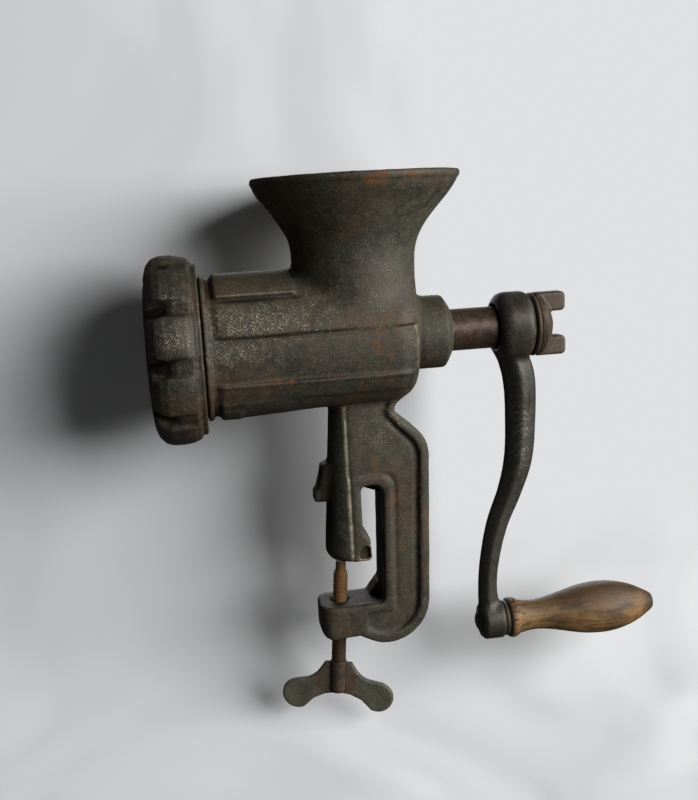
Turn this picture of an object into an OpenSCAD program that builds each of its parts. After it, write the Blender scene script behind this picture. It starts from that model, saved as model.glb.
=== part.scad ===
// Hand crank meat grinder with a table clamp, for 62 mm hole plates.
// Frame: the origin is where the clamp screw's axis meets the underside of the upper jaw, which rests on
// the table top. +X runs along the barrel towards the crank, +Y to the far side and +Z up to the hopper.

/* [Barrel] */
// Height of the barrel's axis above the table top
axis_z = 118.4; // [116:0.1:122]
// Outer radius of the plain barrel
barrel_r = 36; // [35:0.1:37]
// How far the top and bottom bands stand out of the plain barrel
band_h = 1; // [0.6:0.1:1.6]
// Depth of the bare panel on each side
panel_depth = 1; // [0.6:0.1:1.6]
// Rear end of the barrel
barrel_back_x = 43.5; // [43:0.5:47]
// Front end of the threaded spigot
barrel_front_x = -84; // [-88:0.5:-82]
// Length of the threaded spigot that the ring nut covers
spigot_len = 19.6; // [18:0.1:22]
// Outer radius of the spigot's thread
spigot_r = 36.4; // [36:0.1:37.4]
// Radius of the bore that the feed screw turns in
bore_r = 28.5; // [27.5:0.1:29]
// Thickness of the barrel's rear wall
rear_wall = 4.5; // [4:0.1:5.5]
// Rounding of the barrel's rear edge
rear_round = 13; // [9:0.5:15]
// Half height of that panel
panel_half_h = 11.5; // [9:0.5:12.5]
// How far the panel's middle lies below the barrel's axis
panel_drop = 3.2; // [2:0.1:4.4]
// Outer radius of the rear bearing boss
boss_r = 19.3; // [18.5:0.1:20.5]
// Length of the rear bearing boss
boss_len = 20.4; // [18:0.2:24]
// Outer radius left at the boss's tapered end
boss_end_r = 13.4; // [13.2:0.1:15]
// Length of that taper
boss_taper = 3.6; // [2:0.1:5]

/* [Hopper] */
// Distance of the hopper's axis from the origin
hopper_x = 17.2; // [15:0.2:18.4]
// Outer radius of the hopper's rim
rim_r = 54.1; // [51:0.1:57]
// Outer radius of the hopper's neck
neck_r = 31.6; // [30:0.1:33]
// Height of the hopper from the narrowest part of its neck to the rim
flare_h = 44.5; // [40:0.5:50]
// Height of the narrowest part of the neck above the barrel's axis
neck_rise = 38.6; // [37.6:0.1:42]
// Wall of the hopper
hopper_wall = 4.2; // [3.5:0.1:5]
// Height of the rounded lip
lip_h = 4.6; // [4:0.1:6]
// How late the hopper starts to flare
flare_power = 1.3; // [1.1:0.05:1.6]

/* [Clamp frame] */
// Width of the clamp frame, across the barrel
frame_w = 28; // [25:0.5:30]
// Thickness of the web between the frame's rims
web_t = 24.4; // [20:0.2:26]
// Opening between the jaws
jaw_gap = 24; // [20:0.5:27]
// Lean of the clamp screw and the leg from the upright
clamp_lean = 4.4; // [2:0.2:5]
// Reach of the lower jaw's round end in front of the clamp screw's axis
jaw_boss_r = 11.6; // [10.5:0.1:13]
// Height of the boss that the clamp screw runs in
jaw_boss_h = 19; // [17:0.5:22]
// Rear face of the clamp frame
frame_back_x = 48.8; // [47.4:0.1:52]
// Inner face of the frame's spine
spine_x = 22.6; // [21:0.2:24]
// Top of the window behind the leg
window_top_z = 41; // [36:1:46]

/* [Clamp screw] */
// Outer radius of the clamp screw's thread
screw_r = 4; // [3.8:0.1:4.4]
// Radius of the bare neck at the screw's tip
screw_neck_r = 2.8; // [2.4:0.1:3.2]
// Length of the bare neck
screw_neck_len = 5.4; // [4:0.2:7]
// Length of the whole clamp screw
screw_len = 75; // [73:0.5:80]
// Gap between the screw's tip and the upper jaw at rest
screw_rest_gap = 2.5; // [2.2:0.1:4]
// Span of the wing plate
wing_span = 62; // [56:1:68]
// Height of the wing plate where the clamp screw enters it
wing_h = 27.4; // [25:0.2:30]
// Thickness of the wing plate
wing_t = 3.6; // [3:0.1:4.2]
// Radius of the wing's round ends
wing_end_r = 8.8; // [8:0.2:9.6]
// Angle at which the wing rests
wing_turn = -14; // [-30:1:30]

/* [Ring nut and cutting set] */
// Radius of the ring nut's lobes
ring_r = 48.2; // [47:0.1:52]
// Width of the ring nut
ring_w = 27; // [26:0.5:30]
// Number of lobes around the ring nut
lobes = 10; // [8:1:12]
// Angle of the first lobe above the near side
lobe_turn = 15; // [0:1:35]
// Radius of the opening in the ring nut
mouth_r = 27; // [25:0.5:28.5]
// Radius of the hole plate
plate_r = 31; // [30.6:0.1:31.4]
// Thickness of the hole plate
plate_t = 6; // [5:0.5:8]
// Radius of the holes in the plate
plate_hole_r = 2.25; // [1.5:0.05:2.3]
// Radius of the knife
knife_r = 27.5; // [26:0.5:28]
// Thickness of the knife
knife_t = 7; // [6:0.5:8]
// Side of the square stud that drives the knife
stud_square = 9; // [8:0.5:10]
// Radius of the round end of the stud
stud_r = 4; // [3.5:0.1:4.2]

/* [Feed screw] */
// Outer radius of the feed screw's flight
flight_r = 27.8; // [26.5:0.1:28.2]
// Pitch of the flight
flight_pitch = 30; // [26:1:36]
// Thickness of the flight
flight_t = 5; // [4:0.5:6]
// Radius of the feed screw's core at the front
core_front_r = 10; // [9:0.5:11]
// Radius of the feed screw's core at the rear
core_rear_r = 15; // [13:0.5:17]
// Radius of the shaft
shaft_r = 11; // [10:0.1:12]
// Wall of the bearing bush
bush_wall = 1.5; // [1:0.1:2]

/* [Crank and handle] */
// Length of shaft that shows between the bearing boss and the crank
shaft_free = 24.8; // [22:0.2:28]
// Radius of the crank's hub
hub_r = 18.2; // [17.8:0.1:20]
// Width of the crank's hub
hub_w = 19.4; // [18:0.2:22]
// Distance between the crank's two axes
crank_len = 165; // [150:1:180]
// Radius of the boss at the handle's end of the crank
end_boss_r = 10.6; // [10:0.1:11.5]
// Width of that boss
end_boss_w = 13.6; // [12:0.2:16]
// Side of the square on the shaft's end
square_side = 15; // [13:0.5:15]
// Radius of the crank screw's head
head_r = 15.6; // [15:0.1:18]
// How far the head's two prongs reach past its disc
prong_len = 12.8; // [10:0.2:18]
// Length of the wooden grip
grip_len = 86; // [78:1:94]
// Largest radius of the wooden grip
grip_r = 14.6; // [13.5:0.1:16]
// Radius of the pin that the grip turns on
pin_r = 4; // [3.5:0.1:4.4]
// Radius of the pin's thin end, which is riveted over a washer
pin_tip_r = 2.2; // [2:0.1:2.6]

/* [Hidden] */
$fn = 64;

iron = [0.27, 0.25, 0.22];
dark_steel = [0.24, 0.23, 0.22];
worn_steel = [0.42, 0.40, 0.37];
rusty_steel = [0.45, 0.30, 0.18];
olive_iron = [0.38, 0.36, 0.30];
brass = [0.62, 0.50, 0.28];
wood = [0.40, 0.25, 0.13];

fit_gap = 0.05;       // radial clearance of a running fit
thread_gap = 0.1;     // radial clearance of a thread, and of a piece that lies loose in its seat
seat_gap = 0.1;       // gap between two faces that bear on each other
eps = 0.5;            // how far a cutter runs past a face
big = 400;            // larger than the whole grinder

// Stations along the barrel's axis
spigot_back_x = barrel_front_x + spigot_len;
ring_back_x = spigot_back_x - 0.4;
ring_front_x = ring_back_x - ring_w;
plate_seat_x = barrel_front_x + plate_t - 0.3;
bore_back_x = barrel_back_x - rear_wall;
washer_t = 2;
shoulder_x = bore_back_x - washer_t - 2 * seat_gap;
shoulder_w = 4;
knife_back_x = plate_seat_x + knife_t + seat_gap;
screw_front_x = knife_back_x + 0.3;
boss_back_x = barrel_back_x + boss_len;
hub_front_x = boss_back_x + shaft_free;
hub_back_x = hub_front_x + hub_w;
square_back_x = hub_back_x - 1;
crank_washer_t = 2.4;
head_front_x = hub_back_x + crank_washer_t + 2 * seat_gap;
disc_t = 4.2;
dome_h = 6.4;

// Turns a shape drawn along Z so that it runs along the barrel, from station x towards +X.
module along_x(x) { translate([x, 0, axis_z]) rotate([0, 90, 0]) children(); }

// Stands a side outline, drawn in X and Z, upright with width w across the frame.
module side(w) { translate([0, w / 2, 0]) rotate([90, 0, 0]) linear_extrude(w) children(); }

// Leans a shape drawn along Z with the clamp screw's axis.
module leaned() { rotate([0, clamp_lean, 0]) children(); }

// Points of an arc, from angle a0 to a1.
function arc(cx, cy, r, a0, a1, n) =
    [for (i = [0:n]) let (a = a0 + (a1 - a0) * i / n) [cx + r * cos(a), cy + r * sin(a)]];

function unit(v) = v / norm(v);

// Corner p of an outline between its neighbours a and b, rounded to radius r by n steps.
function corner(a, p, b, r, n) =
    let (u = unit(a - p), v = unit(b - p), half = acos(u * v) / 2, reach = r / tan(half),
         c = p + unit(u + v) * r / sin(half), s = p + u * reach - c, e = p + v * reach - c,
         a0 = atan2(s[1], s[0]), turn = atan2(s[0] * e[1] - s[1] * e[0], s * e))
    [for (i = [0:n]) c + r * [cos(a0 + turn * i / n), sin(a0 + turn * i / n)]];

// Outline through corners [x, z, radius]; a radius of 0 keeps the corner sharp.
function rounded(q, n = 8) =
    [for (i = [0:len(q) - 1])
        let (a = q[(i + len(q) - 1) % len(q)], p = q[i], b = q[(i + 1) % len(q)])
        each p[2] > 0
            ? corner([a[0], a[1]], [p[0], p[1]], [b[0], b[1]], p[2], n)
            : [[p[0], p[1]]]];

// Profile of a disc along Z from z0 to z1 with both outer edges rounded.
function disc(r, z0, z1, e) =
    concat([[0, z0]], arc(r - e, z0 + e, e, -90, 0, 6), arc(r - e, z1 - e, e, 0, 90, 6), [[0, z1]]);

module turned(r, z0, z1, e) { rotate_extrude() polygon(disc(r, z0, z1, e)); }

// ---- body casting ----

rim_z = axis_z + neck_rise + flare_h;
frame_top_z = axis_z - barrel_r + 4.6;
jaw_boss_top = -jaw_gap;
jaw_boss_bottom = jaw_boss_top - jaw_boss_h;
frame_bottom_z = jaw_boss_bottom - 5.5;
leg_r = frame_w / 2 - 0.4;
leg_x = 5;
window_x = 11.2;
foot_back_x = 16;
rim_w = 5.8;
jaw_end_x = jaw_boss_r + (jaw_gap + jaw_boss_h / 2) * tan(clamp_lean);
inner_rim_w = 4.9;
throat_r = bore_back_x - hopper_x;

function flare(t) = neck_r + (rim_r - neck_r) * pow(sin(90 * pow(t, flare_power)), 2);

module barrel_shape(r) {
    along_x(spigot_back_x)
        rotate_extrude() polygon(concat(
            [[0, 0], [r, 0]],
            arc(r - rear_round, barrel_back_x - spigot_back_x - rear_round, rear_round, 0, 90, 8),
            [[0, barrel_back_x - spigot_back_x]]));
}

// The two raised bands along the top and the bottom.
module bands() {
    top_band_z = 27.5;
    bottom_band_z = -24.5;
    band_r = barrel_r + band_h;
    intersection() {
        barrel_shape(band_r);
        union() {
            translate([-big / 2, -big / 2, axis_z + top_band_z]) cube([big, big, big]);
            translate([-big / 2, -big / 2, axis_z + bottom_band_z - big]) cube([big, big, big]);
        }
    }
}

module barrel_outside() {
    front_lip = 2.4;
    barrel_shape(barrel_r - panel_depth);
    difference() {
        barrel_shape(barrel_r);
        translate([-big / 2, -big / 2, axis_z - panel_drop - panel_half_h])
            cube([big, big, 2 * panel_half_h]);
    }
    bands();
    along_x(spigot_back_x) cylinder(r = barrel_r + band_h + 0.4, h = front_lip);
    along_x(barrel_front_x) cylinder(r = spigot_r, h = spigot_len + eps);
    along_x(barrel_back_x - rear_wall)
        rotate_extrude() polygon([[0, 0], [boss_r, 0], [boss_r, boss_len + rear_wall - boss_taper],
            [boss_end_r, boss_len + rear_wall], [0, boss_len + rear_wall]]);
}

module hopper_outside() {
    steps = 9;
    flare_share = 0.88;
    lip_e = lip_h / 2;
    translate([hopper_x, 0, 0]) rotate_extrude() polygon(concat(
        [[0, axis_z - 18], [neck_r - 14, axis_z - 18], [neck_r, axis_z + 2]],
        [for (i = [0:steps]) let (t = flare_share * i / steps) [flare(t), axis_z + neck_rise + flare_h * t]],
        arc(rim_r - lip_e, rim_z - lip_e, lip_e, -60, 90, 8),
        [[0, rim_z]]));
}

module hopper_inside() {
    steps = 9;
    translate([hopper_x, 0, 0]) rotate_extrude() polygon(concat(
        [[0, axis_z], [throat_r, axis_z], [throat_r, axis_z + neck_rise - 8]],
        [for (i = [0:steps]) [flare(i / steps) - hopper_wall, axis_z + neck_rise + flare_h * i / steps]],
        [[rim_r - hopper_wall + 1, rim_z + eps], [0, rim_z + eps]]));
}

// Side outline of the leg, foot, spine and lower arm, which bends around the jaw gap and the window.
function frame_outline() = rounded([
    [leg_x, frame_top_z, 0],
    [34.5, frame_top_z, 0],
    [29.8, axis_z - barrel_r - 2.2, 4],
    [frame_back_x, 64, 18],
    [frame_back_x - 3.8, frame_bottom_z + 4.5, 24],
    [19, frame_bottom_z, 20],
    [6.5, frame_bottom_z + 6.5, 0],
    [-jaw_end_x, frame_bottom_z + 5.5, 6],
    [-jaw_end_x, -jaw_gap, 1.5],
    [spine_x - 1.9, -jaw_gap, 3],
    [spine_x, window_top_z, 5],
    [window_x, window_top_z, 3],
    [window_x, 17, 2],
    [foot_back_x - 1.2, 13, 3],
    [foot_back_x, 0, 2.5],
    [leg_x, 0, 0]]);

// Side outline of the hollow between the frame's rims.
function web_outline() = rounded([
    [leg_x + 5, frame_top_z, 0],
    [29, frame_top_z, 0],
    [25, axis_z - barrel_r - 3, 5],
    [frame_back_x - rim_w, 60.5, 14],
    [frame_back_x - rim_w - 3.8, frame_bottom_z + 10, 18],
    [19, frame_bottom_z + 6, 12],
    [jaw_boss_r - 1, frame_bottom_z + 11, 2],
    [jaw_boss_r, -jaw_gap - inner_rim_w, 2],
    [spine_x + inner_rim_w - 1.9, -jaw_gap - inner_rim_w, 2],
    [spine_x + inner_rim_w, window_top_z + inner_rim_w, 6],
    [window_x - 1.6, window_top_z + inner_rim_w, 3]]);

// The rounded front of the leg, cut level at the table top.
module leg_front() {
    foot_round = 8;
    leg_len = frame_top_z + 8;
    intersection() {
        translate([leg_x, 0, 0]) leaned()
            rotate_extrude() polygon(concat(
                [[0, -2]], arc(leg_r - foot_round, foot_round - 2, foot_round, -90, 0, 8),
                [[leg_r, leg_len], [0, leg_len]]));
        side(frame_w + eps) polygon([[-big, 0], [leg_x, 0], [leg_x, frame_top_z], [-big, frame_top_z]]);
    }
}

// The hooked lug on the front of the leg.
module nose_lug() {
    lug_w = 11;
    side(lug_w) polygon(rounded([[0, 55.5, 0], [-4.4, 53.8, 1], [-8.2, 52.6, 1.5], [-9.2, 47.5, 3],
        [-11.2, 40.3, 1.2], [-12.8, 38.6, 1], [-13, 32.6, 1.5], [0, 32.4, 0]], 4));
}

// What is cut from the square end of the lower jaw to make it round, seen from above.
module jaw_end_corners() {
    end_round = 9.5;
    translate([0, 0, -jaw_gap - big + eps]) linear_extrude(big) for (s = [-1, 1]) polygon(concat(
        [[-jaw_end_x - eps, s * (frame_w / 2 + eps)], [-jaw_end_x - eps, s * (frame_w / 2 - end_round)]],
        [for (p = arc(-jaw_end_x + end_round, frame_w / 2 - end_round, end_round, 180, 90, 8)) [p[0], s * p[1]]],
        [[-jaw_end_x + end_round, s * (frame_w / 2 + eps)]]));
}

module clamp_frame() {
    hollow = (frame_w - web_t) / 2;
    difference() {
        side(frame_w) polygon(frame_outline());
        jaw_end_corners();
        for (s = [-1, 1]) translate([0, s * (frame_w / 2 - hollow / 2 + eps / 2), 0])
            side(hollow + eps) polygon(web_outline());
    }
    leg_front();
    nose_lug();
}

module body_casting() {
    color(iron) difference() {
        union() {
            barrel_outside();
            hopper_outside();
            clamp_frame();
        }
        hopper_inside();
        along_x(barrel_front_x - eps) cylinder(r = bore_r, h = bore_back_x - barrel_front_x + eps);
        along_x(barrel_front_x - eps) cylinder(r = plate_r + thread_gap, h = plate_seat_x - barrel_front_x + eps);
        along_x(bore_back_x - eps) cylinder(r = shaft_r + bush_wall, h = boss_len + rear_wall + 2 * eps);
        leaned() translate([0, 0, jaw_boss_bottom - eps])
            cylinder(r = screw_r + fit_gap, h = jaw_boss_h + 8);
        key_pin_shape(key_pin_r);
    }
}

// ---- pieces fixed in the casting ----

key_pin_r = 1.5;
key_pin_len = 12;

module key_pin_shape(r) {
    translate([0, 0, plate_r]) along_x(barrel_front_x + 0.5) cylinder(r = r, h = key_pin_len);
}

module plate_key_pin() { color(worn_steel) key_pin_shape(key_pin_r); }

module rear_bush() {
    color(brass) along_x(bore_back_x) difference() {
        cylinder(r = shaft_r + bush_wall, h = boss_len + rear_wall);
        translate([0, 0, -eps]) cylinder(r = shaft_r + fit_gap, h = big);
    }
}

// ---- plate, ring nut and knife ----

// Rings of plate holes: [number of holes, radius of the ring].
hole_rings = [[6, 9], [12, 16], [18, 23]];

module hole_plate() {
    plate_x = plate_seat_x - plate_t + seat_gap / 2;
    color(worn_steel) difference() {
        along_x(plate_x) cylinder(r = plate_r, h = plate_t - seat_gap);
        along_x(plate_x - eps) {
            cylinder(r = stud_r + fit_gap, h = big);
            for (ring = hole_rings, i = [1:ring[0]])
                rotate([0, 0, 360 * i / ring[0]]) translate([ring[1], 0, 0])
                    cylinder(r = plate_hole_r, h = big, $fn = 16);
        }
        translate([0, 0, plate_r]) along_x(plate_x - eps) cylinder(r = key_pin_r + 0.3, h = big);
    }
}

module ring_nut() {
    lip_x = barrel_front_x - 0.4 - seat_gap;
    valley_r = 8.5;
    valley_rise = 3.4;
    rear_r = ring_r - 5.5;
    color(iron) difference() {
        along_x(ring_front_x) rotate_extrude() polygon(concat(
            [[0, 0]], arc(ring_r - 9, 9, 9, -90, 0, 8),
            [[ring_r - 3, ring_w - 4], [rear_r, ring_w - 2.4], [rear_r, ring_w], [0, ring_w]]));
        along_x(ring_front_x - eps) cylinder(r = mouth_r, h = big);
        along_x(lip_x) cylinder(r = spigot_r + thread_gap, h = big);
        along_x(ring_front_x) for (i = [1:lobes])
            rotate([0, 0, 180 - lobe_turn - 360 / lobes * (i + 0.5)])
                translate([0, ring_r + valley_r - 6.2, -eps])
                    rotate([-atan(valley_rise / ring_w), 0, 0])
                        translate([0, 0, -eps]) cylinder(r = valley_r, h = ring_w - 1.5);
    }
}

module cross_knife() {
    arm_w = 12;
    color(worn_steel) difference() {
        intersection() {
            along_x(plate_seat_x) cylinder(r = knife_r, h = knife_t);
            translate([plate_seat_x, 0, axis_z]) for (a = [0, 90]) rotate([a, 0, 0])
                translate([0, -big / 2, -arm_w / 2]) cube([knife_t, big, arm_w]);
        }
        translate([plate_seat_x - eps, -stud_square / 2 - fit_gap, axis_z - stud_square / 2 - fit_gap])
            cube([knife_t + 2 * eps, stud_square + 2 * fit_gap, stud_square + 2 * fit_gap]);
    }
}

// ---- feed screw and what turns with it ----

stud_hole_r = 5;
stud_hole_len = 18;
thread_hole_r = 5;
thread_hole_len = 26;

// A flight swept around the core as one helix of flat-sided turns.
module flight() {
    sides = 20;
    rings = floor((shoulder_x - screw_front_x - flight_t) / flight_pitch * sides);
    points = [for (i = [0:rings])
        let (a = 360 * i / sides, x = screw_front_x + flight_pitch * i / sides, root = core_front_r - 4)
        each [for (c = [[0, root], [flight_t, root], [flight_t * 0.8, flight_r], [flight_t * 0.2, flight_r]])
            [x + c[0], c[1] * cos(a), axis_z + c[1] * sin(a)]]];
    last = 4 * rings;
    faces = concat(
        [[0, 1, 2, 3], [last + 3, last + 2, last + 1, last]],
        [for (i = [0:rings - 1], k = [0:3]) let (p = 4 * i, n = (k + 1) % 4)
            each [[p + k, p + 4 + k, p + 4 + n], [p + k, p + 4 + n, p + n]]]);
    polyhedron(points, faces);
}

module feed_screw() {
    core_len = shoulder_x - shoulder_w - screw_front_x;
    color(iron) difference() {
        union() {
            along_x(screw_front_x) cylinder(r1 = core_front_r, r2 = core_rear_r, h = core_len);
            along_x(shoulder_x - shoulder_w) cylinder(r = flight_r - 2, h = shoulder_w);
            flight();
            along_x(shoulder_x - eps) cylinder(r = shaft_r, h = hub_front_x - shoulder_x + eps - seat_gap);
            translate([hub_front_x - eps, -square_side / 2, axis_z - square_side / 2])
                cube([square_back_x - hub_front_x + eps, square_side, square_side]);
        }
        along_x(screw_front_x - eps) cylinder(r = stud_hole_r + fit_gap, h = stud_hole_len + eps);
        along_x(square_back_x - thread_hole_len) cylinder(r = thread_hole_r + fit_gap, h = thread_hole_len + eps);
    }
}

module knife_stud() {
    color(dark_steel) {
        along_x(screw_front_x) cylinder(r = stud_hole_r, h = stud_hole_len - 0.5);
        translate([plate_seat_x + seat_gap, -stud_square / 2, axis_z - stud_square / 2])
            cube([screw_front_x - plate_seat_x - seat_gap, stud_square, stud_square]);
        along_x(barrel_front_x) cylinder(r = stud_r, h = plate_seat_x - barrel_front_x + 1);
    }
}

module thrust_washer() {
    color(worn_steel) along_x(shoulder_x + seat_gap) difference() {
        cylinder(r = shaft_r + 9, h = washer_t);
        translate([0, 0, -eps]) cylinder(r = shaft_r + fit_gap, h = big);
    }
}

// ---- crank ----

crank_x = (hub_front_x + hub_back_x) / 2;
end_x = crank_x - 15;
pin_z = axis_z - crank_len;

// Stations of the crank's arm: [X from the hub's middle, share of the crank's length, radius].
arm_stations = [[0.0, 0.03, 8.2], [0.3, 0.09, 8.4], [3.5, 0.165, 8.9], [4.2, 0.26, 8.6], [2.6, 0.43, 8.0],
    [-3.0, 0.55, 6.9], [-10.5, 0.66, 6.2], [-15.6, 0.79, 5.6], [-17.0, 0.90, 5.6], [-15.4, 0.99, 6.6]];

// Smooth curve through the stations; t runs from 0 to the number of stations less 1.
function along_arm(t) =
    let (n = len(arm_stations), i = min(floor(t), n - 2), f = t - i, p0 = arm_stations[max(i - 1, 0)],
         p1 = arm_stations[i], p2 = arm_stations[i + 1], p3 = arm_stations[min(i + 2, n - 1)])
    0.5 * (2 * p1 + (p2 - p0) * f + (2 * p0 - 5 * p1 + 4 * p2 - p3) * f * f
        + (3 * p1 - p0 - 3 * p2 + p3) * f * f * f);

module arm() {
    sides = 20;
    rings = 36;
    place = function (t) let (p = along_arm(t)) [crank_x + p[0], 0, axis_z - p[1] * crank_len];
    t_step = (len(arm_stations) - 1) / rings;
    points = [for (i = [0:rings])
        let (t = i * t_step, c = place(t), r = along_arm(t)[2],
             d = unit(place(min(t + 0.1, len(arm_stations) - 1)) - place(max(t - 0.1, 0))),
             across = [d[2], 0, -d[0]])
        each [for (k = [0:sides - 1]) let (a = 360 * k / sides)
            c + r * (cos(a) * across + sin(a) * [0, 1, 0])]];
    last = sides * rings;
    faces = concat(
        [[for (k = [0:sides - 1]) k], [for (k = [sides - 1:-1:0]) last + k]],
        [for (i = [0:rings - 1], k = [0:sides - 1]) let (p = sides * i, n = (k + 1) % sides)
            each [[p + k, p + sides + k, p + sides + n], [p + k, p + sides + n, p + n]]]);
    polyhedron(points, faces);
}

module at_pin(x) { translate([x, 0, pin_z]) rotate([0, 90, 0]) children(); }

module crank_arm() {
    color(dark_steel) difference() {
        union() {
            along_x(hub_front_x) turned(hub_r, 0, hub_w, 5);
            arm();
            at_pin(end_x - end_boss_w / 2) turned(end_boss_r, 0, end_boss_w, 2.5);
        }
        translate([hub_front_x - eps, -square_side / 2 - fit_gap, axis_z - square_side / 2 - fit_gap])
            cube([hub_w + 2 * eps, square_side + 2 * fit_gap, square_side + 2 * fit_gap]);
        at_pin(end_x - end_boss_w / 2 - eps) cylinder(r = pin_r, h = end_boss_w + 2 * eps);
    }
}

module crank_washer() {
    color(dark_steel) along_x(hub_back_x + seat_gap) difference() {
        turned(head_r + 1.2, 0, crank_washer_t, 0.8);
        translate([0, 0, -eps]) cylinder(r = thread_hole_r + 0.3, h = big);
    }
}

module crank_screw() {
    prong_h = 10.4;
    prong_t = 9;
    prong_top = head_r + 1.3;
    head_back_x = head_front_x + disc_t + prong_len;
    color(dark_steel) {
        along_x(square_back_x - thread_hole_len + 4)
            cylinder(r = thread_hole_r, h = head_front_x - square_back_x + thread_hole_len - 4 + eps);
        along_x(head_front_x) {
            turned(head_r, 0, disc_t, 0.8);
            rotate_extrude() polygon([[0, disc_t - 1], [head_r - 2, disc_t - 1], [head_r - 3.5, disc_t + 1],
                [head_r - 8, disc_t + dome_h - 0.6], [0, disc_t + dome_h]]);
        }
        for (s = [-1, 1]) translate([0, 0, axis_z + s * (prong_top - prong_h / 2)])
            side(prong_t) polygon(rounded([
                [head_front_x + 0.6, -prong_h / 2, 0.5], [head_back_x, -prong_h / 2, 2.4],
                [head_back_x, prong_h / 2, 2.4], [head_front_x + 0.6, prong_h / 2, 0.5]], 4));
    }
}

// ---- handle ----

boss_face_x = end_x + end_boss_w / 2;
handle_washer_t = 1.5;
grip_x = boss_face_x + handle_washer_t + 2 * seat_gap;
recess_r = 3.9;
recess_d = 3;
end_washer_t = 1;
rivet_r = 3.2;
pin_tip_len = 12;

// Half outline of the grip: [share of the length, share of the largest radius].
grip_stations = [[0.00, 0.70], [0.015, 0.75], [0.045, 0.75], [0.08, 0.64], [0.19, 0.55], [0.28, 0.62],
    [0.38, 0.76], [0.50, 0.93], [0.62, 1.00], [0.72, 0.97], [0.82, 0.84], [0.90, 0.66], [0.95, 0.48],
    [0.98, 0.37], [1.00, 0.31]];

module handle_grip() {
    color(wood) at_pin(grip_x) difference() {
        rotate_extrude() polygon(concat([[0, 0]],
            [for (s = grip_stations) [s[1] * grip_r, s[0] * grip_len]], [[0, grip_len]]));
        translate([0, 0, -eps]) cylinder(r = pin_r + fit_gap, h = grip_len - pin_tip_len + eps);
        translate([0, 0, -eps]) cylinder(r = pin_tip_r + fit_gap, h = big);
        translate([0, 0, grip_len - recess_d]) cylinder(r = recess_r, h = recess_d + eps);
    }
}

module handle_washer() {
    color(worn_steel) at_pin(boss_face_x + seat_gap) difference() {
        cylinder(r = end_boss_r - 1, h = handle_washer_t);
        translate([0, 0, -eps]) cylinder(r = pin_r + fit_gap, h = big);
    }
}

module grip_end_washer() {
    color(worn_steel) at_pin(grip_x + grip_len - recess_d + seat_gap) difference() {
        cylinder(r = recess_r - 0.3, h = end_washer_t);
        translate([0, 0, -eps]) cylinder(r = pin_tip_r + fit_gap, h = big);
    }
}

module handle_pin() {
    pin_start = end_x - end_boss_w / 2;
    pin_step = grip_x + grip_len - pin_tip_len - 0.5;
    pin_end = grip_x + grip_len - recess_d + end_washer_t + 2 * seat_gap;
    color(dark_steel) {
        at_pin(pin_start - eps) cylinder(r = pin_r, h = pin_step - pin_start + eps);
        at_pin(pin_step - eps) cylinder(r = pin_tip_r, h = pin_end - pin_step + 2 * eps);
        at_pin(pin_start - 2.5) rotate_extrude() polygon([[0, 0], [3.5, 0.4], [5.4, 1.5], [6, 2.5], [0, 2.5]]);
        at_pin(pin_end) rotate_extrude() polygon([[0, 0], [rivet_r, 0], [rivet_r - 0.8, 1], [1.4, 1.6], [0, 1.6]]);
    }
}

// ---- clamp screw ----

module clamp_screw() {
    color(rusty_steel) leaned() translate([0, 0, -screw_rest_gap]) {
        translate([0, 0, -screw_neck_len - eps]) cylinder(r = screw_neck_r, h = screw_neck_len + eps);
        translate([0, 0, -screw_len]) cylinder(r = screw_r, h = screw_len - screw_neck_len);
    }
}

// Outline of the wing plate, which is the same on both sides of the screw.
function wing_half() =
    let (w = wing_span / 62, h = wing_h / 27.4, c = [wing_span / 2 - wing_end_r, 7.6 * h])
    concat([[0, wing_h], [8 * w, wing_h]],
        rounded([[8 * w, wing_h, 0], [13.5 * w, 19 * h, 12 * w], [20 * w, 16.6 * h, 0]], 5),
        arc(c[0], c[1], wing_end_r, 75, -115, 12), [[13 * w, 5.2 * h], [7 * w, 8.1 * h], [0, 9 * h]]);

module clamp_wing() {
    half = wing_half();
    outline = concat(half, [for (i = [len(half) - 2:-1:1]) [-half[i][0], half[i][1]]]);
    socket_z = -screw_rest_gap - screw_len - 0.3;
    color(olive_iron) leaned() rotate([0, 0, wing_turn]) difference() {
        union() {
            translate([0, 0, socket_z - 0.37 * wing_h]) side(wing_t) polygon(outline);
            translate([0, 0, socket_z - 1.2]) cylinder(r = screw_r + 1.6, h = 0.57 * wing_h);
        }
        translate([0, 0, socket_z]) cylinder(r = screw_r + fit_gap, h = big);
    }
}

body_casting();
rear_bush();
plate_key_pin();
hole_plate();
ring_nut();
feed_screw();
knife_stud();
cross_knife();
thrust_washer();
crank_arm();
crank_washer();
crank_screw();
handle_pin();
handle_washer();
handle_grip();
grip_end_washer();
clamp_screw();
clamp_wing();
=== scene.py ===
"""Visual model of a hand crank meat grinder with a table clamp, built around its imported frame.

Sizes inside the classes are in millimetres, in the frame of the part: +X runs along the barrel
towards the crank, +Y to the far side and +Z up to the hopper. Meshes are written in metres.
"""

from __future__ import annotations

import logging
import math
from dataclasses import dataclass, replace
from enum import Enum
from typing import Sequence

import bmesh
import bpy
import numpy as np
from mathutils import Matrix, Vector


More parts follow.
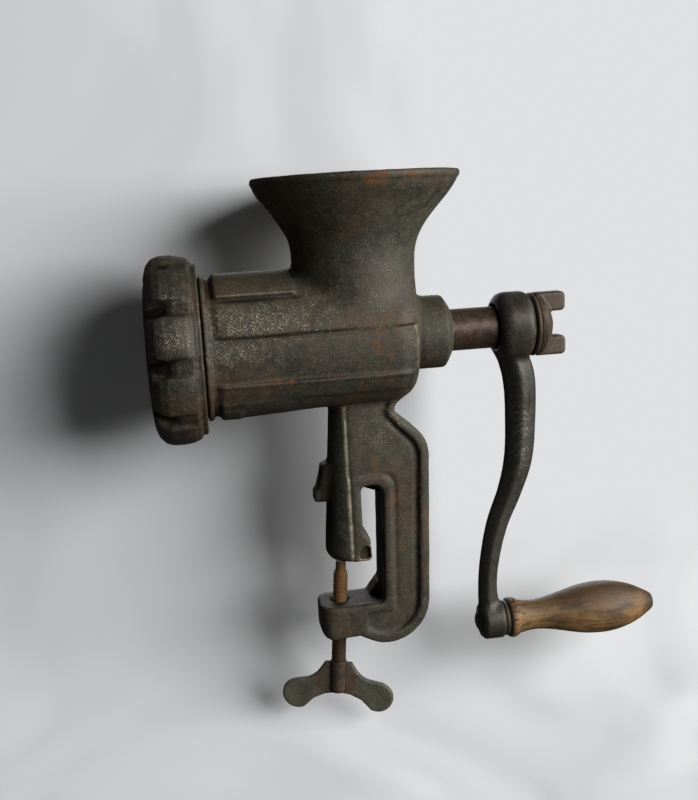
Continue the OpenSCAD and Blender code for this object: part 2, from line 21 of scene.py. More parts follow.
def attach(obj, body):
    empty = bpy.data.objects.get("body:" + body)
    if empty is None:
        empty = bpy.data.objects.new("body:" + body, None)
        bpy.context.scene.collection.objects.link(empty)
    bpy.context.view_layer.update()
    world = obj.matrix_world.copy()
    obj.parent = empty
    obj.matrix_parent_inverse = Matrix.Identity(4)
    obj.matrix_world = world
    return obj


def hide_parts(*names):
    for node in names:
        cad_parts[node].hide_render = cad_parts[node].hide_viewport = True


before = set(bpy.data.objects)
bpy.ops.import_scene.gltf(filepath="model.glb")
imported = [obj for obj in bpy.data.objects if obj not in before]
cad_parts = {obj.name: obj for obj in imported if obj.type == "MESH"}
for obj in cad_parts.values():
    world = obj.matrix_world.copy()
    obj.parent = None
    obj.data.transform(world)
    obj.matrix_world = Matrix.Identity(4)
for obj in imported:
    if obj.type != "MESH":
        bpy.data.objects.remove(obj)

LOG = logging.getLogger("grinder")

METRE = 0.001  # a millimetre, in metres
AXIS_Z = 118.4  # height of the barrel's axis
CLAMP_LEAN = math.radians(4.4)  # lean of the clamp's leg and screw
SHARP_ANGLE = math.radians(35.0)  # edges of turned pieces past it stay sharp

MOST_TRIANGLES = 190_000  # a sculpted piece with more is thinned out
SURFACE_STEPS = 2  # moves of each sculpted point towards its surface
PROFILE_STEP = 0.25  # fineness of a turned profile's table of distances
CREASE_REACHES = (2.0, 5.0, 9.0)  # distances at which a surface looks for walls above it
EDGE_REACH = 1.6  # depth at which it looks for open space below it
WAVES = ((17.0, 0.5), (8.0, 0.3), (4.0, 0.2))  # length and share of the cast skin's waves
WAVES_OF_EACH = 6
WAVE_SEED = 11
WAVE_PHASES = 6.28  # range of their random phases
CREST = 0.8  # share of the waves' height that is taken off, so that the skin stays inside

# The first of these, how enclosed a point is, also sets the shade painted into creases; the last, pale
# specks, also paints a sheen in places.
WORN = ("crease", "edge", "stain", "specks_and_sheen")  # point attributes of a sculpted piece

Outline = Sequence[Sequence[float]]
Points = list[tuple[float, float]]
Colour = tuple[float, float, float, float]


class Body(str, Enum):
    """Rigid bodies of the frame that pieces ride on."""

    HOUSING = "housing"
    PLATE = "plate"
    RING = "ring"
    ROTOR = "rotor"
    GRIP = "grip"
    CRANK_WASHER = "crank_washer"
    CRANK_SCREW = "crank_screw"
    CLAMP_SCREW = "clamp_screw"
    CLAMP_WING = "clamp_wing"


class Slot(str, Enum):
    """Material slots of the record."""

    CAST_IRON = "cast_iron"
    DARK_STEEL = "dark_steel"
    WORN_STEEL = "worn_steel"
    RUSTY_STEEL = "rusty_steel"
    OLIVE_IRON = "olive_iron"
    BRASS = "brass"
    WOOD = "wood"


# ---- sculpting on a lattice of distances ----


def rounded(corners: Outline, steps: int = 6) -> Points:
    """Rounds the corners of a closed outline.

    Args:
        corners: [x, z, radius] for each corner; a radius of 0 keeps it sharp.
        steps: Pieces that each arc is cut into.

    Returns:
        The points of the outline.
    """
    points: Points = []
    for i, (px, pz, radius) in enumerate(corners):
        p = np.array([px, pz])
        if radius <= 0:
            points.append((px, pz))
            continue
        a = np.array(corners[i - 1][:2]) - p
        b = np.array(corners[(i + 1) % len(corners)][:2]) - p
        a, b = a / np.linalg.norm(a), b / np.linalg.norm(b)
        half = math.acos(float(np.clip(a @ b, -1, 1))) / 2
        reach = radius / math.tan(half)
        centre = p + (a + b) / np.linalg.norm(a + b) * radius / math.sin(half)
        start, end = p + a * reach - centre, p + b * reach - centre
        angle = math.atan2(start[1], start[0])
        turn = math.atan2(start[0] * end[1] - start[1] * end[0], float(start @ end))
        for k in range(steps + 1):
            t = angle + turn * k / steps
            points.append((centre[0] + radius * math.cos(t), centre[1] + radius * math.sin(t)))
    return points


def outline_distance(outline: Outline, px: np.ndarray, pz: np.ndarray) -> np.ndarray:
    """Signed distance of points from a closed outline, negative inside it.

    Args:
        outline: The outline's points.
        px: First coordinate of each point.
        pz: Second coordinate of each point.

    Returns:
        The distances, in the shape that px and pz have together.
    """
    shape = np.broadcast_shapes(px.shape, pz.shape)
    nearest = np.full(shape, 1e9, np.float32)
    inside = np.zeros(shape, bool)
    for i, (bx, bz) in enumerate(outline):
        ax, az = outline[i - 1]
        ex, ez = bx - ax, bz - az
        span = ex * ex + ez * ez
        if span < 1e-12:
            continue
        wx, wz = px - ax, pz - az
        t = np.clip((wx * ex + wz * ez) / span, 0, 1)
        nearest = np.minimum(nearest, (wx - ex * t) ** 2 + (wz - ez * t) ** 2)
        if abs(ez) > 1e-12:
            inside ^= ((az > pz) != (bz > pz)) & (px < ax + (pz - az) * ex / ez)
    return np.where(inside, -1, 1).astype(np.float32) * np.sqrt(nearest)


def join(a: np.ndarray, b: np.ndarray, fillet: float = 0.0) -> np.ndarray:
    """Union of two distance fields with a fillet where they meet.

    Args:
        a: First field.
        b: Second field.
        fillet: Size of the fillet; 0 leaves a sharp corner.

    Returns:
        The field of both together.
    """
    if fillet <= 0:
        return np.minimum(a, b)
    h = np.clip(0.5 + 0.5 * (b - a) / fillet, 0, 1)
    return b + (a - b) * h - fillet * h * (1 - h)


def round_prism(side: np.ndarray, across: np.ndarray, edge: float) -> np.ndarray:
    """Distance from what lies inside both fields, with its outer edges rounded by a radius.

    Args:
        side: First field.
        across: Second field.
        edge: Radius of the edges.

    Returns:
        The field of the rounded shape.
    """
    side, across = side + edge, across + edge
    rounding = np.sqrt(np.maximum(side, 0) ** 2 + np.maximum(across, 0) ** 2)
    return np.minimum(np.maximum(side, across), 0) + rounding - edge


def keep(a: np.ndarray, b: np.ndarray, edge: float = 0.0) -> np.ndarray:
    """Part of field a that lies in field b, with a rounded edge."""
    return -join(-a, -b, edge)


def cut(a: np.ndarray, b: np.ndarray, edge: float = 0.0) -> np.ndarray:
    """Field a without field b, with a rounded edge."""
    return -join(-a, b, edge)


def smoothstep(value: np.ndarray, low: float, high: float) -> np.ndarray:
    """Smooth step from 0 at low to 1 at high."""
    t = np.clip((value - low) / (high - low), 0, 1)
    return t * t * (3 - 2 * t)


def bulge(away: np.ndarray, width: float) -> np.ndarray:
    """Soft ridge that is 1 where away is 0 and fades over a width on both sides."""
    return np.exp(-((away / width) ** 2))


def arc(cx: float, cy: float, radius: float, start: float, end: float, steps: int) -> Points:
    """Points of an arc between two angles, in degrees."""
    angles = [math.radians(start + (end - start) * i / steps) for i in range(steps + 1)]
    return [(cx + radius * math.cos(a), cy + radius * math.sin(a)) for a in angles]


class Lattice:
    """Regular lattice of sample points that shapes are sculpted on.

    Attributes:
        CORNERS: The eight corners of a cell.
    """

    CORNERS = [(k & 1, k >> 1 & 1, k >> 2 & 1) for k in range(8)]

    def __init__(self, low: Sequence[float], high: Sequence[float], step: float) -> None:
        """Lays out the lattice.

        Args:
            low: Lowest corner, in millimetres.
            high: Highest corner, in millimetres.
            step: Distance between neighbouring points, in millimetres.
        """
        self.step = step
        self.low = np.array(low, float)
        counts = [int(math.ceil((h - l) / step)) + 1 for l, h in zip(low, high)]
        rows = [l + step * np.arange(n) for l, n in zip(low, counts)]
        self.x = rows[0].astype(np.float32)[:, None, None]
        self.y = rows[1].astype(np.float32)[None, :, None]
        self.z = rows[2].astype(np.float32)[None, None, :]

    def around(self, height: float = AXIS_Z) -> np.ndarray:
        """Distance of each sample point from a line along X at a height."""
        return np.hypot(self.y, self.z - height)

    def leaned(self, from_x: float = 0.0) -> tuple[np.ndarray, np.ndarray]:
        """Coordinates of the sample points across and along the clamp screw's lean.

        Args:
            from_x: Where the line that it leans from stands on the X axis.

        Returns:
            The coordinates across and along the lean.
        """
        x = self.x - from_x
        across = x * math.cos(CLAMP_LEAN) - self.z * math.sin(CLAMP_LEAN)
        return across, x * math.sin(CLAMP_LEAN) + self.z * math.cos(CLAMP_LEAN)

    def turned(self, profile: Outline, radius: np.ndarray, along: np.ndarray) -> np.ndarray:
        """Distance from a turned shape.

        Args:
            profile: [station along the axis, radius] points, from axis to axis.
            radius: Distance of each sample point from the axis.
            along: Station of each sample point along the axis.

        Returns:
            The distance field.
        """
        fine = PROFILE_STEP
        mirrored = list(profile) + [(u, -r) for u, r in reversed(profile)]
        u_low, u_high = float(along.min()) - 1, float(along.max()) + 1
        u_rows = np.arange(u_low, u_high + fine, fine, dtype=np.float32)
        r_rows = np.arange(0, float(radius.max()) + 2 * fine, fine, dtype=np.float32)
        table = outline_distance(mirrored, u_rows[:, None], r_rows[None, :])
        u = (along - u_low) / fine
        r = radius / fine
        iu = np.clip(u.astype(np.int32), 0, len(u_rows) - 2)
        ir = np.clip(r.astype(np.int32), 0, len(r_rows) - 2)
        fu, fr = (u - iu).astype(np.float32), (r - ir).astype(np.float32)
        near = table[iu, ir] * (1 - fr) + table[iu, ir + 1] * fr
        far = table[iu + 1, ir] * (1 - fr) + table[iu + 1, ir + 1] * fr
        return near * (1 - fu) + far * fu

    def slab(self, outline: Outline, width: float, edge: float, centre: float = 0.0) -> np.ndarray:
        """Distance from a side outline that is given a width across the frame.

        Args:
            outline: Points in X and Z.
            width: Width along Y.
            edge: Radius that rounds the edges.
            centre: Middle of the width.

        Returns:
            The distance field.
        """
        side = outline_distance(outline, self.x, self.z)
        return round_prism(side, np.abs(self.y - centre) - width / 2, edge)

    def probe(self, field: np.ndarray, points: np.ndarray) -> np.ndarray:
        """Reads a field between its lattice points.

        Args:
            field: The distance field.
            points: One point a row, in millimetres.

        Returns:
            The field's value at each point.
        """
        at = (points - self.low) / self.step
        limit = np.array(field.shape) - 2
        i = np.clip(np.floor(at).astype(np.int64), 0, limit)
        f = np.clip(at - i, 0, 1)
        total = np.zeros(len(points))
        for corner in self.CORNERS:
            weight = np.prod(np.where(corner, f, 1 - f), axis=1)
            total += weight * field[tuple((i + corner).T)]
        return total

    def slope(self, field: np.ndarray, points: np.ndarray) -> np.ndarray:
        """Outward direction of a field's surface at each point.

        Args:
            field: The distance field.
            points: Points at or near its surface.

        Returns:
            A unit vector for each point.
        """
        reach = self.step * 0.75
        parts = []
        for k in range(3):
            move = np.zeros(3)
            move[k] = reach
            parts.append(self.probe(field, points + move) - self.probe(field, points - move))
        direction = np.stack(parts, axis=1)
        return direction / np.maximum(np.linalg.norm(direction, axis=1, keepdims=True), 1e-9)

    def skin(self, field: np.ndarray) -> tuple[np.ndarray, np.ndarray]:
        """Closed surface where a field is zero.

        Args:
            field: The distance field.

        Returns:
            The surface's points, in millimetres, and its quads, which face outwards.
        """
        inside = field < 0
        for axis in range(3):
            if np.take(inside, (0, -1), axis=axis).any():
                raise ValueError(f"the shape runs out of its lattice along axis {axis}")
        mixed, points = self._crossed_cells(field, inside)
        most = 0.4 * self.step
        for _ in range(SURFACE_STEPS):
            direction = self.slope(field, points)
            miss = np.clip(self.probe(field, points), -most, most)
            points = points - direction * miss[:, None]
        number = np.full(mixed.shape, -1, np.int64)
        number[mixed] = np.arange(len(points))
        return points, self._quads(inside, number)

    def _crossed_cells(self, field: np.ndarray, inside: np.ndarray) -> tuple[np.ndarray, np.ndarray]:
        """Finds the cells that a surface passes through.

        Args:
            field: The distance field.
            inside: Whether each sample point lies inside the shape.

        Returns:
            Whether the surface passes through each cell, and the middle of its crossings with the
            edges of each one that it does.
        """
        shape = tuple(n - 1 for n in field.shape)
        count = np.zeros(shape, np.int8)
        windows = {}
        for corner in self.CORNERS:
            windows[corner] = tuple(slice(k, k + n) for k, n in zip(corner, shape))
            count += inside[windows[corner]]
        mixed = (count > 0) & (count < len(self.CORNERS))
        cells = np.argwhere(mixed)
        values = {corner: field[window][mixed] for corner, window in windows.items()}
        total = np.zeros((len(cells), 3))
        hits = np.zeros(len(cells))
        for corner, value in values.items():
            for axis in range(3):
                if corner[axis]:
                    continue
                far = values[tuple(1 if j == axis else corner[j] for j in range(3))]
                crosses = (value < 0) != (far < 0)
                share = value[crosses] / (value[crosses] - far[crosses])
                crossing = np.tile(np.array(corner, float), (len(share), 1))
                crossing[:, axis] += share
                total[crosses] += crossing
                hits[crosses] += 1
        return mixed, self.low + self.step * (cells + total / hits[:, None])

    @staticmethod
    def _quads(inside: np.ndarray, number: np.ndarray) -> np.ndarray:
        """Joins the cells around each lattice edge that leaves or enters the shape.

        Args:
            inside: Whether each sample point lies inside the shape.
            number: Number of the surface point in each cell.

        Returns:
            Four point numbers a row, in the order that faces outwards.
        """
        quads = []
        for axis in range(3):
            a, b = [j for j in range(3) if j != axis]
            near = [slice(1, -1)] * 3
            near[axis] = slice(0, -1)
            far = list(near)
            far[axis] = slice(1, None)
            low, high = inside[tuple(near)], inside[tuple(far)]
            for enters, found in ((False, low & ~high), (True, ~low & high)):
                cell = np.argwhere(found)
                if not len(cell):
                    continue
                around = []
                for da, db in ((0, 0), (1, 0), (1, 1), (0, 1)):
                    beside = cell.copy()
                    beside[:, a] += da
                    beside[:, b] += db
                    around.append(number[tuple(beside.T)])
                quad = np.stack(around, axis=1)
                quads.append(quad[:, ::-1] if enters == (axis != 1) else quad)
        return np.concatenate(quads)


def make_mesh(name: str, points: np.ndarray, faces: Sequence, smooth: bool = True) -> bpy.types.Object:
    """Makes an object from points and faces.

    Args:
        name: Name of the piece.
        points: Its points, in millimetres.
        faces: Its faces.
        smooth: Whether the faces are shaded smoothly.

    Returns:
        The object, linked to the scene.
    """
    mesh = bpy.data.meshes.new(name)
    mesh.from_pydata((np.asarray(points) * METRE).tolist(), [], [tuple(map(int, f)) for f in faces])
    mesh.update()
    if smooth:
        mesh.shade_smooth()
    piece = bpy.data.objects.new(name, mesh)
    bpy.context.scene.collection.objects.link(piece)
    return piece


@dataclass(frozen=True)
class Patch:
    """Place on a piece where rust or pale specks lie thicker, or where shade or a sheen is painted.

    Args:
        at: Its middle, in millimetres.
        reach: Its size along each axis, in millimetres.
        rust: How much rust it adds; 1 is plenty.
        specks_and_sheen: How many pale specks it adds, from 0 to 1; on the barrel's upper front they
            paint a sheen.
        painted_shade: How much shade is painted there, from 0 to 1.
    """

    at: tuple[float, float, float]
    reach: tuple[float, float, float]
    rust: float = 0.0
    specks_and_sheen: float = 0.0
    painted_shade: float = 0.0


def sculpt(
    name: str,
    lattice: Lattice,
    field: np.ndarray,
    place: Matrix | None = None,
    grain: float = 0.0,
    patches: Sequence[Patch] = (),
) -> bpy.types.Object:
    """Turns a distance field into a piece that carries how worn and how sheltered each point is; the
    finishes paint shade where it is sheltered.

    Args:
        name: Name of the piece.
        lattice: The lattice that the field was sculpted on.
        field: The distance field.
        place: Where the piece goes, if it was sculpted in a place of its own.
        grain: Depth of the waviness of the cast surface, in millimetres.
        patches: Places where rust or pale specks lie thicker, or where shade or a sheen is painted.

    Returns:
        The piece, with the point attributes that WORN names.
    """
    points, quads = lattice.skin(field)
    normals = lattice.slope(field, points)
    # How enclosed each point is: it spreads rust and sets the shade painted into creases.
    crease = np.zeros(len(points))
    for reach in CREASE_REACHES:
        free = lattice.probe(field, points + normals * reach) / reach
        crease += np.clip(1 - free, 0, 1) / len(CREASE_REACHES)
    edge = np.clip(1 + lattice.probe(field, points - normals * EDGE_REACH) / EDGE_REACH, 0, 1)
    if grain > 0:
        points = points + normals * ((cast_waves(points) - CREST) * grain)[:, None]
    stain, specks_and_sheen = np.zeros(len(points)), np.zeros(len(points))
    for patch in patches:
        away = np.sum(((points - np.array(patch.at)) / np.array(patch.reach)) ** 2, axis=1)
        stain = np.maximum(stain, patch.rust * np.exp(-away))
        specks_and_sheen = np.maximum(specks_and_sheen, patch.specks_and_sheen * np.exp(-away))
        # The patches' painted shade adds to the same value.
        crease = np.maximum(crease, patch.painted_shade * np.exp(-away))
    if place is not None:
        turn = np.array(place)
        points = points @ turn[:3, :3].T + turn[:3, 3]
    piece = make_mesh(name, points, quads)
    for key, value in zip(WORN, (crease, edge, stain, specks_and_sheen)):
        attribute = piece.data.attributes.new(key, "FLOAT", "POINT")
        attribute.data.foreach_set("value", value.astype(np.float32))
    triangles = 2 * len(quads)
    if triangles > MOST_TRIANGLES:
        thin_out(piece, MOST_TRIANGLES / triangles)
    LOG.info("%s: %d faces", name, len(piece.data.polygons))
    return piece


def cast_waves(points: np.ndarray) -> np.ndarray:
    """Height of the waves of a cast skin at each point, between about -1 and 1.

    Args:
        points: The points, in millimetres.

    Returns:
        The height at each point.
    """
    rng = np.random.default_rng(WAVE_SEED)
    height = np.zeros(len(points))
    for length, share in WAVES:
        for _ in range(WAVES_OF_EACH):
            way = rng.normal(size=3)
            way /= np.linalg.norm(way)
            bend = rng.normal(size=3)
            phase = points @ way * (2 * math.pi / length) + np.sin(points @ bend / length) * 1.7
            height += share * np.sin(phase + rng.uniform(0, WAVE_PHASES)) / WAVES_OF_EACH
    return height


def thin_out(piece: bpy.types.Object, share: float) -> None:
    """Collapses the flattest parts of a piece until a share of its triangles is left.

    Args:
        piece: The piece, whose point attributes stay.
        share: Share of its triangles that stays.
    """
    modifier = piece.modifiers.new("thin_out", "DECIMATE")
    modifier.ratio = share
    apply_shape(piece, modifier)


def apply_shape(piece: bpy.types.Object, modifier: bpy.types.Modifier) -> None:
    """Turns what a modifier makes of a piece into its plain mesh, without the modifier.

    Args:
        piece: The piece.
        modifier: The modifier, which is on the piece.
    """
    graph = bpy.context.evaluated_depsgraph_get()
    shaped = bpy.data.meshes.new_from_object(piece.evaluated_get(graph), depsgraph=graph)
    piece.modifiers.remove(modifier)
    piece.data = shaped
    shaped.name = piece.name


def lathe(name: str, profile: Outline, centre: Sequence[float], sides: int) -> bpy.types.Object:
    """Turns a closed profile about the X axis.

    Args:
        name: Name of the piece.
        profile: [station along X, radius] points, from axis to axis, in the order in which the
            solid lies to their right; a closed ring may stay off the axis.
        centre: Point that the axis passes through, where the stations start.
        sides: Faces around.

    Returns:
        The piece, shaded smoothly except across its sharp edges.
    """
    rows: list[list[int]] = []
    points: list[tuple[float, float, float]] = []
    for u, r in profile:
        if r < 1e-6:
            rows.append([len(points)] * sides)
            points.append((u, 0.0, 0.0))
            continue
        rows.append(list(range(len(points), len(points) + sides)))
        for k in range(sides):
            a = 2 * math.pi * k / sides
            points.append((u, r * math.cos(a), r * math.sin(a)))
    on_axis = profile[0][1] < 1e-6 and profile[-1][1] < 1e-6
    after = rows[1:] if on_axis else rows[1:] + rows[:1]
    faces = []
    for near, far in zip(rows, after):
        for k in range(sides):
            n = (k + 1) % sides
            face = [near[k], near[n], far[n], far[k]]
            faces.append([v for i, v in enumerate(face) if v != face[i - 1]])
    piece = make_mesh(name, np.array(points) + np.array(centre, float), faces)
    face_outwards(piece)
    smooth_by_angle(piece)
    return piece


def face_outwards(piece: bpy.types.Object) -> None:
    """Recalculates a closed piece's normals so that its faces point outwards.

    Args:
        piece: The piece, whose doubled points are merged too.
    """
    shape = bmesh.new()
    shape.from_mesh(piece.data)
    bmesh.ops.remove_doubles(shape, verts=shape.verts, dist=1e-7)
    bmesh.ops.recalc_face_normals(shape, faces=shape.faces)
    shape.to_mesh(piece.data)
    shape.free()


def smooth_by_angle(piece: bpy.types.Object) -> None:
    """Shades a piece smoothly except across sharp edges."""
    piece.data.shade_smooth()
    piece.data.set_sharp_from_angle(angle=SHARP_ANGLE)


def shift(piece: bpy.types.Object, matrix: Matrix) -> None:
    """Moves a piece's points by a matrix whose lengths are in millimetres.

    Args:
        piece: The piece.
        matrix: The move.
    """
    move = matrix.copy()
    move.translation = move.translation * METRE
    piece.data.transform(move)
    piece.data.update()


# ---- finishes ----


class Graph:
    """Builder of a node tree, of a material, the world or a Geometry Nodes group."""

    def __init__(self, tree: bpy.types.NodeTree) -> None:
        """Takes over a tree and empties it."""
        tree.nodes.clear()
        self.tree = tree

    def add(self, kind: str, inputs: dict | None = None, **settings: object) -> bpy.types.Node:
        """Adds a node.

        Args:
            kind: The node's type.
            inputs: Values or sockets for the inputs, by name or number.
            settings: The node's own settings.

        Returns:
            The node.
        """
        node = self.tree.nodes.new(kind)
        for key, value in settings.items():
            setattr(node, key, value)
        for key, value in (inputs or {}).items():
            if isinstance(value, bpy.types.NodeSocket):
                self.tree.links.new(value, node.inputs[key])
            else:
                node.inputs[key].default_value = value
        return node

    def math(self, kind: str, a: object, b: object = 0.0, c: object = 0.0) -> bpy.types.NodeSocket:
        """Adds a sum on numbers."""
        return self.add("ShaderNodeMath", {0: a, 1: b, 2: c}, operation=kind).outputs[0]

    def times(self, a: object, b: object) -> bpy.types.NodeSocket:
        """Product of two numbers."""
        return self.math("MULTIPLY", a, b)

    def larger(self, a: object, b: object) -> bpy.types.NodeSocket:
        """Larger of two numbers."""
        return self.math("MAXIMUM", a, b)

    def line(self, value: object, slope: object, start: object) -> bpy.types.NodeSocket:
        """A start plus a value times a slope."""
        return self.math("MULTIPLY_ADD", value, slope, start)

    def split(self, vector: bpy.types.NodeSocket) -> bpy.types.bpy_prop_collection:
        """X, Y and Z of a vector."""
        return self.add("ShaderNodeSeparateXYZ", {0: vector}).outputs


class Shader(Graph):
    """Builder of a procedural material, whose patterns lie in the object's own coordinates."""

    def __init__(self, name: str) -> None:
        """Starts a material.

        Args:
            name: Name of the material.
        """
        self.material = bpy.data.materials.new(name)
        self.material.use_nodes = True
        super().__init__(self.material.node_tree)
        self.place = self.add("ShaderNodeTexCoord").outputs["Object"]

    def stretched(self, x: float, y: float, z: float) -> bpy.types.NodeSocket:
        """Object coordinates scaled along each axis."""
        return self.add("ShaderNodeMapping", {"Vector": self.place, "Scale": (x, y, z)}).outputs[0]

    def noise(
        self,
        size: float,
        detail: float = 4.0,
        rough: float = 0.55,
        distortion: float = 0.0,
        place: bpy.types.NodeSocket | None = None,
    ) -> bpy.types.NodeSocket:
        """Cloudy pattern.

        Args:
            size: Size of its largest clouds, in millimetres.
            detail: Number of finer layers.
            rough: Weight of the finer layers.
            distortion: How much the clouds are swirled.
            place: Coordinates, if not the object's own.

        Returns:
            Values around 0.5.
        """
        inputs = {
            "Vector": place or self.place,
            "Scale": 1 / (size * METRE),
            "Detail": detail,
            "Roughness": rough,
            "Distortion": distortion,
        }
        return self.add("ShaderNodeTexNoise", inputs).outputs[0]

    def step(self, value: bpy.types.NodeSocket, low: float, high: float) -> bpy.types.NodeSocket:
        """Smooth step of a value from 0 at low to 1 at high, which may be the smaller."""
        inputs = {"Value": value, "From Min": low, "From Max": high}
        return self.add("ShaderNodeMapRange", inputs, interpolation_type="SMOOTHSTEP").outputs[0]

    def step_mm(self, value: bpy.types.NodeSocket, low: float, high: float) -> bpy.types.NodeSocket:
        """Smooth step of a coordinate between two places in millimetres."""
        return self.step(value, low * METRE, high * METRE)

    def blend(self, share: object, a: object, b: object) -> bpy.types.NodeSocket:
        """Mixes a share of colour b into colour a."""
        return self.add("ShaderNodeMix", {0: share, 6: a, 7: b}, data_type="RGBA").outputs[2]

    def worn(self, name: str) -> bpy.types.NodeSocket:
        """Value of a point attribute of the piece."""
        return self.add("ShaderNodeAttribute", attribute_name=name).outputs["Fac"]

    def bump(
        self, height: bpy.types.NodeSocket, depth: float, before: bpy.types.NodeSocket | None = None
    ) -> bpy.types.NodeSocket:
        """Relief of a pattern.

        Args:
            height: The pattern.
            depth: Height of its relief, in millimetres.
            before: Relief that this one lies on.

        Returns:
            The bent normal.
        """
        inputs = {"Height": height, "Distance": depth * METRE, "Strength": 1.0}
        if before is not None:
            inputs["Normal"] = before
        return self.add("ShaderNodeBump", inputs).outputs[0]

    def close(self, **inputs: object) -> bpy.types.Material:
        """Ends the material in a Principled surface with these inputs.

        Args:
            inputs: Its named inputs, with underscores for spaces.

        Returns:
            The material.
        """
        named = {key.replace("_", " "): value for key, value in inputs.items()}
        surface = self.add("ShaderNodeBsdfPrincipled", named)
        self.add("ShaderNodeOutputMaterial", {"Surface": surface.outputs[0]})
        return self.material


def colour(red: int, green: int, blue: int) -> Colour:
    """Linear colour from the three parts that a screen shows, of 255."""
    linear = [((v / 255 + 0.055) / 1.055) ** 2.4 for v in (red, green, blue)]
    return (*linear, 1.0)


# Near-black colour of the shade that is painted into creases and shaded places.
PAINTED_SHADE = colour(24, 20, 16)


@dataclass(frozen=True)
class MetalFinish:
    """Old iron or steel: patchy, sandy, rusty in its creases and rubbed on its edges, with shade painted
    into its creases.

    Args:
        name: Name of the material.
        slot: Material slot of the record; not used.
        dark: Colour of the dark patches.
        base: Main colour.
        light: Colour of rubbed edges and of the sandy specks.
        rust: Colour of the rust.
        rusty: How far rust spreads over it, from 0 to 1.
        sandy: How strongly the specks show.
        rubbed: How strongly the edges are rubbed.
        metallic: How metallic the surface is.
        rough: Roughness of the base.
        relief: Depth of the cast skin's relief, in millimetres.
        oiled_below: Height under which it is dark with oil, in millimetres, if it is.
        oil_edge: Half of the height over which the oil fades, in millimetres.
        patch_size: Size of the dark patches, as all below in millimetres.
        bloom_size: Size of the brown bloom.
        rust_size: Size of the rust stains.
        wave_size: Size of the relief's waves.
        mottle_size: Size of the mottling.
        fine_size: Size of the finest grain.
        grit_size: Size of the pale specks.
    """

    name: str
    slot: Slot
    dark: Colour
    base: Colour
    light: Colour
    rust: Colour
    rusty: float = 0.2
    sandy: float = 0.5
    rubbed: float = 0.5
    metallic: float = 0.4
    rough: float = 0.5
    relief: float = 0.12
    oiled_below: float | None = None
    oil_edge: float = 5.0
    patch_size: float = 26.0
    bloom_size: float = 38.0
    rust_size: float = 9.0
    wave_size: float = 9.0
    mottle_size: float = 5.0
    fine_size: float = 0.9
    grit_size: float = 0.62

    def build(self) -> bpy.types.Material:
        """Builds the material.

        Returns:
            The material.
        """
        s = Shader(self.name)
        crease, edge, stain, specks_and_sheen = (s.worn(key) for key in WORN)
        mottle = s.noise(self.mottle_size, 6.0, 0.72, 0.4)
        fine = s.noise(self.fine_size, 3.0, 0.7)
        tone = self._patchy(s, mottle)
        tone = s.blend(self._specks(s, mottle, specks_and_sheen), tone, self.light)
        tone = s.blend(s.times(s.step(fine, 0.5, 0.32), 0.6), tone, self.dark)
        rub = s.times(s.step(edge, 0.2, 0.72), s.step(mottle, 0.28, 0.6))
        tone = s.blend(s.times(rub, self.rubbed), tone, self.light)
        # Painted shade: creases and shaded patches are blended towards a near-black colour.
        shade_share = s.times(s.step(crease, 0.12, 0.62), 0.9)
        tone = s.blend(shade_share, tone, PAINTED_SHADE)
        rust = self._rust(s, fine, crease, stain)
        tone = s.blend(s.times(rust, 0.85), tone, self.rust)
        if self.oiled_below is not None:
            height = s.split(s.place)[2]
            top, bottom = self.oiled_below + self.oil_edge, self.oiled_below - self.oil_edge
            oiled = s.step_mm(height, top, bottom)
            tone = s.blend(s.times(oiled, 0.8), tone, self.dark)
        rough = s.line(mottle, 0.3, self.rough - 0.2)
        for pattern, share in ((fine, 0.2), (rust, 0.2), (rub, -0.1)):
            rough = s.line(pattern, share, rough)
        # Painted shade also takes metallic sheen and specular level out of creases, as rust does.
        bare_unshaded = s.math("SUBTRACT", 1.0, s.larger(rust, shade_share))
        relief = s.bump(s.noise(self.wave_size, 3.0, 0.5), self.relief * 2.5)
        relief = s.bump(mottle, self.relief * 1.8, relief)
        relief = s.bump(fine, self.relief * 0.9, relief)
        return s.close(
            Base_Color=tone,
            Metallic=s.times(bare_unshaded, self.metallic),
            Roughness=rough,
            Specular_IOR_Level=s.line(bare_unshaded, 0.35, 0.1),
            Normal=relief,
        )

    def _patchy(self, s: Shader, mottle: bpy.types.NodeSocket) -> bpy.types.NodeSocket:
        """Colour of the bare metal: dark and light patches with a brown bloom.

        Args:
            s: The material's tree.
            mottle: Pattern of the mottled places.

        Returns:
            The colour.
        """
        patches = s.step(s.noise(self.patch_size, 5.0, 0.6, 0.3), 0.36, 0.62)
        tone = s.blend(s.line(patches, 0.6, 0.4), self.dark, self.base)
        tone = s.blend(s.step(mottle, 0.36, 0.68), tone, self.base)
        bloom = s.step(s.noise(self.bloom_size, 4.0, 0.6, 0.5), 0.47, 0.64)
        return s.blend(s.times(bloom, 0.4 * self.rusty + 0.06), tone, self.rust)

    def _specks(
        self, s: Shader, mottle: bpy.types.NodeSocket, specks_and_sheen: bpy.types.NodeSocket
    ) -> bpy.types.NodeSocket:
        """Share of pale specks, which lie in the mottled places and on the sandy ones; in places they
        paint a sheen.

        Args:
            s: The material's tree.
            mottle: Pattern of the mottled places.
            specks_and_sheen: Where the surface is sandy; in places this paints a sheen.

        Returns:
            The share, from 0 to 1.
        """
        grit = s.step(s.line(specks_and_sheen, 0.05, s.noise(self.grit_size, 2.0, 0.6)), 0.52, 0.66)
        specks = s.times(grit, s.larger(s.step(mottle, 0.38, 0.6), s.times(specks_and_sheen, 0.6)))
        specks = s.times(specks, s.math("ADD", specks_and_sheen, self.sandy))
        return s.math("MINIMUM", specks, 1.0)

